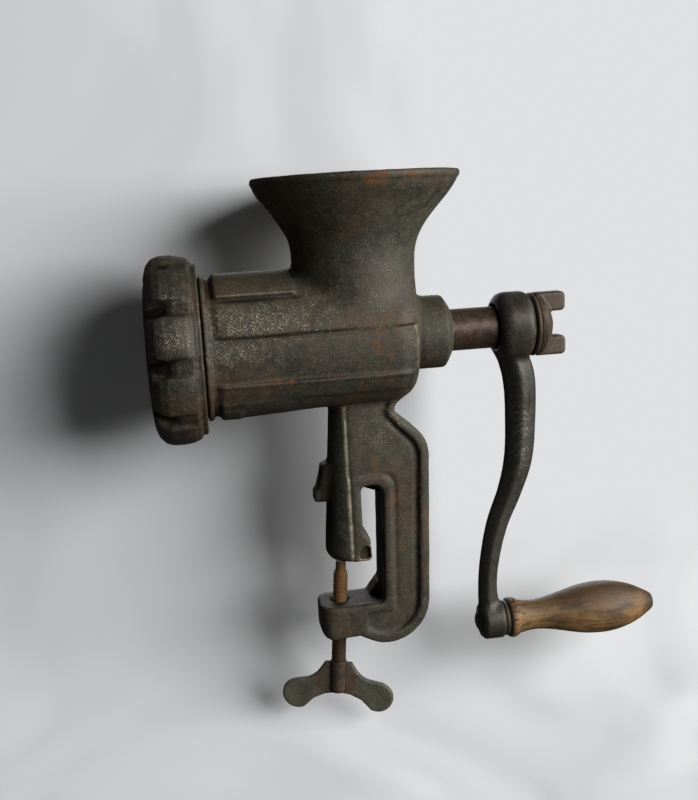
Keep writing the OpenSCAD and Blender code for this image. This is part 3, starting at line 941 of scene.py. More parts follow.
    def _rust(
        self,
        s: Shader,
        fine: bpy.types.NodeSocket,
        crease: bpy.types.NodeSocket,
        stain: bpy.types.NodeSocket,
    ) -> bpy.types.NodeSocket:
        """Share of rust, which spreads from creases and stained places.

        Args:
            s: The material's tree.
            fine: Pattern of the fine grain.
            crease: Where the surface lies in a crease.
            stain: Where the surface is stained.

        Returns:
            The share, from 0 to 1.
        """
        spread = s.math("ADD", s.noise(self.rust_size, 8.0, 0.76, 0.5), s.times(crease, 0.06))
        spread = s.line(stain, 0.2, spread)
        rim = 0.74 - 0.4 * self.rusty
        return s.times(s.step(spread, rim - 0.04, rim + 0.16), s.step(fine, 0.25, 0.6))


@dataclass(frozen=True)
class WoodFinish:
    """Turned beech that hands have darkened and polished.

    Args:
        name: Name of the material.
        slot: Material slot of the record; not used.
        dark: Colour of the grain lines, of the dirt and of the darker top.
        base: Main colour.
        gold: Colour of the lighter streaks.
        start: Station of the grip's end at the crank, as all below in millimetres.
        end: Station of its free end.
        centre_z: Height of its axis.
        streak_size: Width of the streaks along the grain.
        pore_size: Width of the pores.
        check_size: Width of the small cracks at the crank's end.
        dirt_size: Size of the dirty places.
    """

    name: str
    slot: Slot
    dark: Colour
    base: Colour
    gold: Colour
    start: float
    end: float
    centre_z: float
    streak_size: float = 3.4
    pore_size: float = 0.7
    check_size: float = 1.6
    dirt_size: float = 19.0

    def build(self) -> bpy.types.Material:
        """Builds the material.

        Returns:
            The material.
        """
        s = Shader(self.name)
        streaks = s.noise(self.streak_size, 6.0, 0.66, 0.5, s.stretched(0.1, 1.0, 1.0))
        pores = s.noise(self.pore_size, 3.0, 0.6, 0.0, s.stretched(0.2, 1.0, 1.0))
        checks = s.noise(self.check_size, 3.0, 0.6, 0.3, s.stretched(0.12, 1.0, 1.0))
        dirt = s.noise(self.dirt_size, 6.0, 0.66, 0.4)
        x, _, z = s.split(s.place)
        # By height: more golden towards the bottom, darker towards the top.
        below = s.step_mm(z, self.centre_z + 12, self.centre_z - 3)
        above = s.step_mm(z, self.centre_z + 2, self.centre_z + 13)
        near = s.step_mm(x, self.start + 16, self.start + 5)
        bright = s.larger(below, s.times(near, 0.8))
        tone = s.blend(s.step(streaks, 0.3, 0.66), self.dark, self.base)
        tone = s.blend(0.55, tone, self.base)
        polish = s.times(s.step(streaks, 0.36, 0.62), 0.5)
        polish = s.line(s.step(dirt, 0.62, 0.38), 0.35, polish)
        tone = s.blend(s.times(polish, s.line(bright, 0.75, 0.25)), tone, self.gold)
        tone = s.blend(s.times(s.step(pores, 0.56, 0.7), 0.55), tone, self.dark)
        crack = s.times(s.step(checks, 0.55, 0.6), near)
        char = s.step_mm(x, self.start + 2.6, self.start + 0.4)
        far = s.step_mm(x, self.end - 12, self.end - 1)
        ends = s.larger(s.larger(char, far), s.times(crack, 0.8))
        darker_share = s.larger(s.times(s.step(dirt, 0.52, 0.7), 0.5), s.times(ends, 0.85))
        # Darker towards the top.
        darker_share = s.larger(darker_share, s.times(above, 0.4))
        tone = s.blend(darker_share, tone, self.dark)
        relief = s.bump(streaks, 0.2)
        relief = s.bump(pores, 0.12, relief)
        relief = s.bump(crack, -0.5, relief)
        return s.close(
            Base_Color=tone, Metallic=0.0, Roughness=s.line(streaks, 0.25, 0.5), Normal=relief
        )


@dataclass(frozen=True)
class ClothFinish:
    """Plain cloth of the stage, which a camera sees through from its back and light passes.

    Args:
        name: Name of the material.
        tone: Colour that the camera sees.
        bounce: Colour that it throws back on the object.
        folds: Depth of its soft folds, as all below in millimetres.
        fold_size: Distance between them.
        open_x: Where it starts to thin out on the crank's side, so that the crank shows.
        open_z: Height above which it thins out there.
        fade_x: Width over which it thins out.
        fade_z: Height over which it thins out.
    """

    name: str
    tone: Colour
    bounce: Colour
    folds: float
    fold_size: float
    open_x: float
    open_z: float
    fade_x: float
    fade_z: float

    def build(self) -> bpy.types.Material:
        """Builds the material.

        Returns:
            The material.
        """
        s = Shader(self.name)
        relief = s.bump(s.noise(self.fold_size, 2.0, 0.4, 0.7), self.folds)
        path = s.add("ShaderNodeLightPath").outputs
        seen = path["Is Camera Ray"]
        tone = s.blend(seen, self.bounce, self.tone)
        cloth = s.add("ShaderNodeBsdfDiffuse", {"Color": tone, "Roughness": 0.6, "Normal": relief})
        back = s.add("ShaderNodeNewGeometry").outputs["Backfacing"]
        clear = s.add("ShaderNodeBsdfTransparent")
        x, _, z = s.split(s.place)
        beside = s.step_mm(x, self.open_x, self.open_x + self.fade_x)
        thin = s.times(beside, s.step_mm(z, self.open_z, self.open_z + self.fade_z))
        share = s.larger(s.times(s.larger(back, thin), seen), path["Is Shadow Ray"])
        sheet = s.add("ShaderNodeMixShader", {0: share, 1: cloth.outputs[0], 2: clear.outputs[0]})
        s.add("ShaderNodeOutputMaterial", {"Surface": sheet.outputs[0]})
        return s.material


CASTING_IRON = MetalFinish(
    name="cast_iron_old",
    slot=Slot.CAST_IRON,
    dark=colour(26, 24, 19),
    base=colour(62, 59, 47),
    light=colour(158, 150, 126),
    rust=colour(118, 73, 38),
    rusty=0.28,
    sandy=0.3,
    rubbed=0.72,
    metallic=0.2,
    rough=0.6,
    relief=0.13,
)
RING_IRON = replace(
    CASTING_IRON, name="cast_iron_ring", base=colour(56, 53, 43), metallic=0.3, rough=0.54, sandy=0.35
)
DARK_STEEL = MetalFinish(
    name="crank_steel_dark",
    slot=Slot.DARK_STEEL,
    dark=colour(29, 27, 24),
    base=colour(66, 61, 54),
    light=colour(158, 153, 142),
    rust=colour(80, 62, 47),
    rusty=0.12,
    sandy=0.2,
    rubbed=0.35,
    metallic=0.45,
    rough=0.46,
    relief=0.05,
)
WORN_STEEL = MetalFinish(
    name="steel_worn",
    slot=Slot.WORN_STEEL,
    dark=colour(66, 60, 54),
    base=colour(112, 106, 98),
    light=colour(176, 170, 158),
    rust=colour(110, 68, 42),
    rusty=0.15,
    sandy=0.3,
    rubbed=0.6,
    metallic=0.75,
    rough=0.42,
    relief=0.04,
)
RUSTY_STEEL = MetalFinish(
    name="screw_steel_rusty",
    slot=Slot.RUSTY_STEEL,
    dark=colour(50, 38, 28),
    base=colour(110, 81, 48),
    light=colour(164, 130, 84),
    rust=colour(128, 82, 42),
    rusty=0.4,
    sandy=0.3,
    rubbed=0.6,
    metallic=0.25,
    rough=0.62,
    relief=0.08,
    oiled_below=-45.0,
)
OLIVE_IRON = MetalFinish(
    name="wing_iron_olive",
    slot=Slot.OLIVE_IRON,
    dark=colour(46, 41, 34),
    base=colour(94, 90, 76),
    light=colour(156, 150, 130),
    rust=colour(92, 64, 44),
    rusty=0.15,
    sandy=0.4,
    rubbed=0.12,
    metallic=0.2,
    rough=0.6,
    relief=0.11,
)
BRASS = MetalFinish(
    name="bush_brass_dull",
    slot=Slot.BRASS,
    dark=colour(70, 54, 34),
    base=colour(112, 90, 56),
    light=colour(170, 144, 96),
    rust=colour(84, 70, 46),
    rusty=0.15,
    sandy=0.2,
    rubbed=0.5,
    metallic=0.7,
    rough=0.45,
    relief=0.03,
)
BROWN_STEEL = MetalFinish(
    name="steel_brown_dark",
    slot=Slot.DARK_STEEL,
    dark=colour(38, 31, 25),
    base=colour(80, 67, 53),
    light=colour(134, 116, 94),
    rust=colour(98, 68, 44),
    rusty=0.18,
    sandy=0.25,
    rubbed=0.3,
    metallic=0.3,
    rough=0.56,
    relief=0.06,
)
SHAFT_STEEL = MetalFinish(
    name="shaft_steel_brown",
    slot=Slot.DARK_STEEL,
    dark=colour(40, 31, 26),
    base=colour(78, 63, 53),
    light=colour(140, 122, 106),
    rust=colour(102, 68, 48),
    rusty=0.15,
    sandy=0.35,
    rubbed=0.4,
    metallic=0.5,
    rough=0.4,
    relief=0.04,
)
GRIP_WOOD = WoodFinish(
    name="grip_wood_worn",
    slot=Slot.WOOD,
    dark=colour(40, 26, 15),
    base=colour(82, 58, 34),
    gold=colour(152, 116, 64),
    start=91.9,
    end=177.9,
    centre_z=-46.6,
)
CLOTH = ClothFinish(
    name="stage_cloth_pale",
    tone=colour(222, 223, 224),
    bounce=colour(84, 84, 86),
    folds=18.0,
    fold_size=190.0,
    open_x=46.0,
    open_z=-55.0,
    fade_x=28.0,
    fade_z=60.0,
)


class Palette:
    """Materials that have been built, one for each finish."""

    _built: dict[str, bpy.types.Material] = {}

    @classmethod
    def of(cls, finish: MetalFinish | WoodFinish | ClothFinish) -> bpy.types.Material:
        """Material of a finish, which is built the first time.

        Args:
            finish: The finish.

        Returns:
            Its one material.
        """
        if finish.name not in cls._built:
            cls._built[finish.name] = finish.build()
        return cls._built[finish.name]


def seat(piece: bpy.types.Object, body: Body, finish: MetalFinish | WoodFinish, *nodes: str) -> None:
    """Gives a piece its material, its body and the CAD nodes that it stands for.

    Args:
        piece: The piece.
        body: The body that it rides on.
        finish: Its finish.
        nodes: CAD nodes that it replaces.
    """
    piece.data.materials.clear()
    piece.data.materials.append(Palette.of(finish))
    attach(piece, body.value)
    if nodes:
        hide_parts(*nodes)
    LOG.info("%s rides on %s, for %s", piece.name, body.value, ", ".join(nodes) or "no node")


def dress(node: str, finish: MetalFinish | WoodFinish) -> None:
    """Gives a CAD node that stays a better material.

    Args:
        node: Name of the node.
        finish: Its finish.
    """
    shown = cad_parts[node]
    shown.data.materials.clear()
    shown.data.materials.append(Palette.of(finish))
    LOG.info("%s keeps its CAD shape", node)


# ---- geometry nodes ----


class Generator:
    """Base of the Geometry Nodes groups: builds a group once and runs it with the values given.

    Attributes:
        group_name: Name of the group.
        lengths: Names of its inputs that are lengths, with their usual values in millimetres.
        numbers: Names of its other numbers, with their usual values.
        counts: Names of its whole numbers, with their usual values.
    """

    group_name: str
    lengths: dict[str, float] = {}
    numbers: dict[str, float] = {}
    counts: dict[str, int] = {}

    def __init__(self) -> None:
        """Makes the group and its named inputs."""
        self.tree = bpy.data.node_groups.new(self.group_name, "GeometryNodeTree")
        self.graph = Graph(self.tree)
        self.tree.interface.new_socket("Geometry", in_out="OUTPUT", socket_type="NodeSocketGeometry")
        usual = {name: value * METRE for name, value in self.lengths.items()} | self.numbers
        for name, value in usual.items():
            self.named(name, "Float").default_value = value
        for name, count in self.counts.items():
            self.named(name, "Int").default_value = count
        self.named("Material", "Material")
        self.source = self.graph.add("NodeGroupInput").outputs

    def named(self, name: str, kind: str) -> bpy.types.NodeTreeInterfaceSocket:
        """Adds a named input."""
        return self.tree.interface.new_socket(name, in_out="INPUT", socket_type=f"NodeSocket{kind}")

    def give(self, geometry: bpy.types.NodeSocket) -> None:
        """Realizes the geometry, gives it the material and ends the group.

        Args:
            geometry: What the group has made.
        """
        real = self.graph.add("GeometryNodeRealizeInstances", {0: geometry}).outputs[0]
        inputs = {"Geometry": real, "Material": self.source["Material"]}
        done = self.graph.add("GeometryNodeSetMaterial", inputs)
        self.graph.add("NodeGroupOutput", {0: done.outputs[0]})

    def run(self, name: str, finish: MetalFinish, values: dict[str, float]) -> bpy.types.Object:
        """Runs the group.

        Args:
            name: Name of the piece that it makes.
            finish: Finish of the piece.
            values: Values of the named inputs, lengths in millimetres.

        Returns:
            The piece, as a mesh without modifiers.
        """
        host = make_mesh(name, np.zeros((0, 3)), [], smooth=False)
        modifier = host.modifiers.new(self.group_name, "NODES")
        modifier.node_group = self.tree
        sockets = {s.name: s.identifier for s in self.tree.interface.items_tree if s.in_out == "INPUT"}
        modifier[sockets["Material"]] = Palette.of(finish)
        for key, value in values.items():
            modifier[sockets[key]] = value * METRE if key in self.lengths else value
        apply_shape(host, modifier)
        face_outwards(host)
        LOG.info("%s: %d faces from %s", name, len(host.data.polygons), self.group_name)
        return host


class HelixRidge(Generator):
    """A ridge wound around the X axis, as a screw's thread or a feed screw's flight."""

    group_name = "helix_ridge"
    lengths = {
        "Start": 0.0,
        "Pitch": 2.0,
        "Root Radius": 4.0,
        "Depth": 0.6,
        "Root Width": 1.8,
        "Crest Width": 0.6,
        "Wear": 0.1,
    }
    numbers = {"Turns": 3.0, "Run Out": 0.5}
    counts = {"Seed": 7}

    def __init__(self, sides: int, turns: int) -> None:
        """Makes the group.

        Args:
            sides: Pieces that one turn is cut into.
            turns: Number of turns, which sets how long the strip is that gets wound.
        """
        super().__init__()
        g, value = self.graph, self.source
        size = {"Size": (1, 1, 1), "Vertices X": sides * turns + 1, "Vertices Y": 2, "Vertices Z": 2}
        strip = g.add("GeometryNodeMeshCube", size).outputs["Mesh"]
        at = g.split(g.add("GeometryNodeInputPosition").outputs[0])
        along = g.math("ADD", at[0], 0.5)
        rise = g.math("ADD", at[2], 0.5)
        wound = g.times(along, value["Turns"])
        left = g.math("SUBTRACT", value["Turns"], wound)
        run = g.math("DIVIDE", g.math("MINIMUM", wound, left), value["Run Out"])
        run = g.math("MINIMUM", g.math("ADD", run, 0.05), 1.0)
        place = g.add("ShaderNodeCombineXYZ", {0: wound, 1: at[1], 2: rise}).outputs[0]
        inputs = {"Vector": place, "Scale": 3.0, "W": value["Seed"]}
        noise = g.add("ShaderNodeTexNoise", inputs, noise_dimensions="4D").outputs[0]
        wear = g.times(g.math("SUBTRACT", noise, 0.5), value["Wear"])
        radius = g.line(rise, g.times(value["Depth"], run), value["Root Radius"])
        radius = g.math("ADD", radius, wear)
        narrow = g.math("SUBTRACT", value["Crest Width"], value["Root Width"])
        width = g.line(rise, narrow, value["Root Width"])
        x = g.line(wound, value["Pitch"], value["Start"])
        x = g.line(at[1], width, x)
        angle = g.times(wound, 2 * math.pi)
        y = g.times(radius, g.math("COSINE", angle))
        z = g.times(radius, g.math("SINE", angle))
        moved = g.add("ShaderNodeCombineXYZ", {0: x, 1: y, 2: z}).outputs[0]
        inputs = {"Geometry": strip, "Position": moved}
        self.give(g.add("GeometryNodeSetPosition", inputs).outputs[0])


class PiercedPlate(Generator):
    """A disc around the X axis with rings of holes, made by one cutter on each point."""

    group_name = "pierced_plate"
    lengths = {
        "Plate Radius": 31.0,
        "Thickness": 6.0,
        "Hole Radius": 2.25,
        "Centre Hole Radius": 4.0,
    }

    def __init__(self, rings: Sequence[tuple[int, float]], hole_sides: int) -> None:
        """Makes the group.

        Args:
            rings: Number of holes and radius of each ring, in millimetres.
            hole_sides: Faces around each hole.
        """
        super().__init__()
        g, value = self.graph, self.source
        deep = g.times(value["Thickness"], 1.5)
        disc = self._cylinder(96, value["Plate Radius"], value["Thickness"])
        drill = self._cylinder(hole_sides, value["Hole Radius"], deep)
        centre = self._cylinder(32, value["Centre Hole Radius"], deep)
        cutters = g.add("GeometryNodeJoinGeometry", {0: centre})
        for count, radius in rings:
            ring = g.add("GeometryNodeMeshCircle", {"Vertices": count, "Radius": radius * METRE})
            inputs = {"Points": ring.outputs[0], "Instance": drill}
            drills = g.add("GeometryNodeInstanceOnPoints", inputs).outputs[0]
            placed = g.add("GeometryNodeRealizeInstances", {0: drills}).outputs[0]
            g.tree.links.new(placed, cutters.inputs[0])
        inputs = {0: disc, 1: cutters.outputs[0]}
        pierced = g.add("GeometryNodeMeshBoolean", inputs, operation="DIFFERENCE", solver="EXACT")
        inputs = {"Geometry": pierced.outputs[0], "Rotation": (0, math.pi / 2, 0)}
        self.give(g.add("GeometryNodeTransform", inputs).outputs[0])

    def _cylinder(self, sides: int, radius: object, depth: object) -> bpy.types.NodeSocket:
        """A closed cylinder."""
        inputs = {"Vertices": sides, "Radius": radius, "Depth": depth}
        return self.graph.add("GeometryNodeMeshCylinder", inputs, fill_type="NGON").outputs["Mesh"]


# ---- sub-assemblies ----


@dataclass
class Casting:
    """The body casting: barrel, hopper, bearing boss and clamp frame, with the pieces fixed in it.

    A pair of numbers says where a form starts and where it is full, along X or up from the axis.
    """

    grid: float = 1.05
    barrel_r: float = 36.0
    spigot_r: float = 35.2
    front_x: float = -84.0
    spigot_end_x: float = -64.4
    back_x: float = 43.5
    rear_round: float = 13.0
    band_start: tuple[float, float] = (-59.5, -57)
    band_end: tuple[float, float] = (36, 44)
    panel_half_h: float = 11.5
    panel_drop: float = 3.2
    panel_depth: float = 1.0
    panel_lip: float = 0.7
    panel_groove: float = 1.2
    gap_start: tuple[float, float] = (2, 14)
    gap_end: tuple[float, float] = (27, 34)
    top_band_foot: float = 25.4
    top_band_z: tuple[float, float] = (26.4, 27.6)
    top_band_end: tuple[float, float] = (-19.5, -16.5)
    top_band_h: float = 1.6
    top_band_groove: float = 0.9
    bottom_band_z: tuple[float, float] = (-25.2, -24.0)
    bottom_band_h: float = 0.7
    bottom_sink: float = 1.7
    bottom_sink_x: tuple[float, float] = (-47, -2)
    pad_z: tuple[float, float] = (-29.5, -28.2)
    pad_x: tuple[float, float] = (-48, -46.6)
    pad_h: float = 0.7
    boss_r: float = 19.3
    boss_end_x: float = 63.9
    boss_end_r: float = 13.4
    boss_taper: float = 3.6
    bore_r: float = 28.5
    bore_end_x: float = 39.0
    plate_r: float = 31.1
    plate_seat_x: float = -78.3
    bush_r: float = 12.5
    neck_x: float = 14.9
    neck_z: float = 157.0
    neck_r: float = 31.8
    rim_lean: float = 3.2
    rim_r: float = 53.2
    rim_z: float = 201.5
    flare_power: float = 1.3
    wall: float = 4.2
    throat_r: float = 21.8
    frame_w: float = 28.0
    frame_edge: float = 2.2
    web_depth: float = 1.5
    gusset_w: float = 12.0
    gusset_y: float = 7.5
    nose_w: float = 11.0
    leg_x: float = 5.0
    leg_r: float = 13.6
    leg_top: float = 96.0
    foot_round: float = 8.0
    pocket_floor_y: float = 10.6
    screw_hole_r: float = 4.5
    screw_hole: tuple[float, float] = (-33.5, 16.0)
    thread_pitch: float = 3.2
    thread_turns: int = 5

    def build(self) -> None:
        """Builds the casting and dresses the pieces fixed in it."""
        lattice = Lattice((-86, -57, -51), (75, 57, 204), self.grid)
        field = self._barrel(lattice)
        field = join(field, self._hopper(lattice), 4.5)
        field = join(field, self._frame(lattice), 2.2)
        field = self._hollows(lattice, field)
        patches = (
            Patch((17, -52, 197), (8, 9, 4), rust=1.3),
            Patch((38, -46, 198), (7, 12, 4), rust=0.9),
            Patch((20, -35, 119), (7, 9, 17), rust=1.0),
            Patch((12, -28, 92), (10, 12, 8), rust=1.0),
            # Pale specks on the barrel's upper front, thick enough there to paint a sheen.
            Patch((-36, -33, 134), (32, 14, 9), specks_and_sheen=0.85),
            Patch((-50, -36, 120), (18, 10, 8), specks_and_sheen=0.7),
            Patch((25, -14, 70), (12, 6, 10), specks_and_sheen=0.5),
            Patch((22, -14, 52), (12, 6, 5), rust=0.8),
            Patch((31, -14, 20), (4, 6, 26), rust=0.5),
            # The patches that darken paint shade: in the foot's pocket, with dirt, on the spine's inner
            # face, on the leg's front, on the hopper's left side, along the barrel's grooves and at the
            # jaw's lower left end.
            Patch((11, -10, 5), (5, 2.5, 6), painted_shade=0.5),
            Patch((22, 0, 8), (2.5, 10, 36), painted_shade=0.8),
            Patch((-7, -5, 40), (5, 12, 42), painted_shade=0.7),
            Patch((-18, -22, 165), (9, 22, 26), painted_shade=0.4),
            Patch((-14, -36, 103), (40, 9, 4), rust=0.5),
            Patch((-32, -34, AXIS_Z + 7.9), (36, 14, 0.9), painted_shade=0.7),
            Patch((-12, -34, AXIS_Z - 14.4), (50, 14, 0.9), painted_shade=0.6),
            Patch((-40, -25, AXIS_Z + 25.2), (24, 14, 1.1), painted_shade=0.75),
            Patch((-18, -12, -37), (10, 14, 14), painted_shade=0.45),
            Patch((3, -14, -34), (14, 5, 7), rust=0.6),
            # Shade and grime painted on the jaw's top.
            Patch((4, 0, -24), (26, 12, 3), painted_shade=0.9),
        )
        skin = sculpt("casting_skin", lattice, field, grain=0.22, patches=patches)
        seat(skin, Body.HOUSING, CASTING_IRON, "body_casting")
        thread = HelixRidge(sides=40, turns=self.thread_turns).run(
            "spigot_thread",
            CASTING_IRON,
            {
                "Start": self.front_x + 1.6,
                "Pitch": self.thread_pitch,
                "Turns": float(self.thread_turns),
                "Root Radius": self.spigot_r - 0.5,
                "Depth": 1.6,
                "Root Width": 2.6,
                "Crest Width": 1.0,
                "Run Out": 0.4,
                "Wear": 0.15,
            },
        )
        shift(thread, Matrix.Translation((0, 0, AXIS_Z)))
        seat(thread, Body.HOUSING, CASTING_IRON)
        dress("rear_bush", BRASS)
        dress("plate_key_pin", WORN_STEEL)

    def _barrel(self, lattice: Lattice) -> np.ndarray:
        """Outside of the barrel with its bands, side panels, spigot and bearing boss.

        Args:
            lattice: Sample points.

        Returns:
            Its distance field.
        """
        r, end = self.barrel_r, self.back_x
        profile = [
            (self.front_x, 0),
            (self.front_x, self.spigot_r - 1),
            (self.front_x + 1, self.spigot_r),
            (self.spigot_end_x, self.spigot_r),
            (self.spigot_end_x, r + 0.8),
            (self.spigot_end_x + 0.6, r + 1.3),
            (self.spigot_end_x + 2.0, r + 1.3),
            (self.spigot_end_x + 2.7, r + 0.6),
            (self.spigot_end_x + 3.6, r - 1.1),
            (self.spigot_end_x + 5.0, r - 1.1),
            (self.spigot_end_x + 7.4, r),
        ]
        profile += arc(end - self.rear_round, r - self.rear_round, self.rear_round, 90, 0, 10)
        profile += [(end, 0)]
        around, height, x = lattice.around(), lattice.z - AXIS_Z, lattice.x
        barrel = lattice.turned(profile, around, x)
        body = smoothstep(x, *self.band_start) * (1 - smoothstep(x, *self.band_end))
        side = height + self.panel_drop
        panel = 1 - smoothstep(np.abs(side), self.panel_half_h - 0.5, self.panel_half_h + 0.5)
        before = 1 - smoothstep(x, *self.top_band_end)
        top = smoothstep(height, *self.top_band_z) * before
        under_top = bulge(height - self.top_band_foot, 1.3) * before
        bottom = 1 - smoothstep(height, *self.bottom_band_z)
        sink = self.bottom_sink * smoothstep(x, *self.bottom_sink_x)
        pad = (1 - smoothstep(x, *self.pad_x)) * (1 - smoothstep(height, *self.pad_z))
        rise = self.top_band_h * top + (self.bottom_band_h - sink) * bottom + self.pad_h * pad
        rise = rise - self.panel_depth * panel - self.top_band_groove * under_top
        lip = bulge(side + self.panel_half_h + 1.1, 0.9)
        groove = bulge(side - self.panel_half_h + 0.6, 0.9)
        fade = 1 - smoothstep(x, *self.gap_start) * (1 - smoothstep(x, *self.gap_end))
        barrel = barrel - body * (rise + self.panel_lip * lip - self.panel_groove * groove * fade)
        boss = lattice.turned(
            [
                (end - 5, 0),
                (end - 5, self.boss_r),
                (self.boss_end_x - self.boss_taper - 0.4, self.boss_r),
                (self.boss_end_x - self.boss_taper + 0.5, self.boss_r - 1.1),
                (self.boss_end_x - 0.3, self.boss_end_r + 0.4),
                (self.boss_end_x, self.boss_end_r),
                (self.boss_end_x, 0),
            ],
            around,
            x,
        )
        return join(barrel, boss, 2.5)

    def _flare(self, share: float) -> float:
        """Outer radius of the hopper at a share of its flare's height."""
        swing = math.sin(math.pi / 2 * share**self.flare_power) ** 2
        return self.neck_r + (self.rim_r - self.neck_r) * swing

    def _hopper_radius(self, lattice: Lattice) -> np.ndarray:
        """Distance of each sample point from the hopper's slightly leaning axis."""
        share = np.clip((lattice.z - self.neck_z) / (self.rim_z - self.neck_z), 0, 1)
        return np.hypot(lattice.x - self.neck_x - self.rim_lean * share, lattice.y)

    def _hopper(self, lattice: Lattice) -> np.ndarray:
        """Outside of the hopper.

        Args:
            lattice: Sample points.

        Returns:
            Its distance field.
        """
        tall = self.rim_z - self.neck_z
        profile = [(AXIS_Z - 18, 0), (AXIS_Z - 18, self.neck_r - 14), (AXIS_Z + 2, self.neck_r)]
        profile += [(self.neck_z + tall * t, self._flare(t)) for t in np.linspace(0, 0.86, 14)]
        rim = ((4.8, 1.2), (4.0, 0.4), (3.0, 0), (1.4, 0), (0.4, 0.6), (0, 1.8), (0, self.rim_r))
        profile += [(self.rim_z - down, self.rim_r - back) for down, back in rim]
        return lattice.turned(profile, self._hopper_radius(lattice), lattice.z)

    def _hollows(self, lattice: Lattice, field: np.ndarray) -> np.ndarray:
        """Cuts the hopper's inside, the bore, the plate's seat and the screw's hole.

        Args:
            lattice: Sample points.
            field: Distance field of the solid casting.

        Returns:
            The field with the hollows cut.
        """
        tall = self.rim_z - self.neck_z
        inside = [(AXIS_Z, 0), (AXIS_Z, self.throat_r), (self.neck_z - 8, self.throat_r)]
        inside += [(self.neck_z + tall * t, self._flare(t) - self.wall) for t in np.linspace(0, 0.97, 12)]
        inside += [(self.rim_z + 5, self.rim_r - self.wall + 1.5), (self.rim_z + 5, 0)]
        field = cut(field, lattice.turned(inside, self._hopper_radius(lattice), lattice.z), 1.6)
        bore = [
            (self.front_x - 5, 0),
            (self.front_x - 5, self.plate_r),
            (self.plate_seat_x, self.plate_r),
            (self.plate_seat_x, self.bore_r),
            (self.bore_end_x, self.bore_r),
            (self.bore_end_x, self.bush_r),
            (self.boss_end_x + 5, self.bush_r),
            (self.boss_end_x + 5, 0),
        ]
        field = cut(field, lattice.turned(bore, lattice.around(), lattice.x))
        across, along = lattice.leaned()
        middle, half = self.screw_hole
        hole = np.hypot(across, lattice.y) - self.screw_hole_r
        return cut(field, np.maximum(hole, np.abs(along - middle) - half), 0.8)

    def _frame(self, lattice: Lattice) -> np.ndarray:
        """Leg, foot, spine and jaw of the clamp frame.

        Args:
            lattice: Sample points.

        Returns:
            Their distance field.
        """
        top_z = AXIS_Z - self.barrel_r + 4.6
        outline = rounded(
            [
                (self.leg_x, top_z, 0),
                (34.5, top_z, 0),
                (29.8, 80.2, 4),
                (48.8, 64, 18),
                (45.0, -44, 24),
                (19, -48.5, 20),
                (6.5, -42, 0),
                (-14.2, -43, 6),
                (-14.2, -24, 1.5),
                (20.7, -24, 3),
                (22.6, 41, 5),
                (11.2, 41, 3),
                (11.2, 17, 2),
                (14.8, 13, 3),
                (16, 0, 2.5),
                (self.leg_x, 0, 0),
            ]
        )
        web = rounded(
            [
                (self.leg_x - 1, top_z, 0),
                (29, top_z, 0),
                (25, 79.4, 5),
                (43.0, 60.5, 14),
                (39.2, -38.5, 18),
                (19, -42.5, 12),
                (10.6, -37.5, 2),
                (11.6, -28.9, 2),
                (25.6, -28.9, 2),
                (27.5, 45.9, 6),
                (self.leg_x - 1, 45.9, 0),
            ]
        )
        x, z = lattice.x, lattice.z
        hollow = outline_distance(web, x, z)
        inner = smoothstep(-hollow, -0.5, 0.7)
        back = smoothstep(x, 24, 31)
        groove = bulge(hollow + 1.4, 1.2) * back
        crest = bulge(hollow - 1.6, 1.2) * back
        half = self.frame_w / 2 - 0.5 - self.web_depth * inner - 1.1 * groove + 0.6 * crest
        side = outline_distance(outline, x, z)
        plate = round_prism(side, np.abs(lattice.y) - half, self.frame_edge)
        jaw = rounded([(-14.2, -14, 9.5), (60, -14, 0), (60, 14, 0), (-14.2, 14, 9.5)])
        plate = keep(plate, outline_distance(jaw, x, lattice.y), 1.5)
        high = [(23.2, 42), (23.2, 33.3), (13.5, 37), (13.5, 42)]
        low = [(21.4, -24.6), (14, -24.6), (21.4, -15.2)]
        for gusset in (high, low):
            plate = join(plate, lattice.slab(gusset, self.gusset_w, 0.6, self.gusset_y), 0.6)
        across, along = lattice.leaned(self.leg_x)
        middle = (self.foot_round - 2, self.leg_r - self.foot_round)
        leg_profile = [(-2, 0)] + arc(*middle, self.foot_round, 180, 90, 8)
        leg_profile += [(self.leg_top, self.leg_r), (self.leg_top, 0)]
        leg = lattice.turned(leg_profile, np.hypot(across, lattice.y), along)
        leg = np.maximum(np.maximum(leg, x - self.leg_x), -z)
        nose = rounded(
            [
                (0, 55.5, 0),
                (-4.4, 53.8, 1),
                (-8.2, 52.6, 1.5),
                (-9.2, 47.5, 3),
                (-11.2, 40.3, 1.2),
                (-12.8, 38.6, 1),
                (-13, 32.6, 1.5),
                (0, 32.4, 0),
            ],
            4,
        )
        leg = join(leg, lattice.slab(nose, self.nose_w, 1.5), 1.6)
        frame = join(plate, leg, 0.8)
        mouth = rounded([(8, 1.8, 1.4), (14.4, 1.8, 1), (13.6, 8.8, 1), (10, 7.6, 1.8)])
        floor = self.pocket_floor_y - np.abs(lattice.y)
        return cut(frame, np.maximum(outline_distance(mouth, x, z), floor), 1.0)


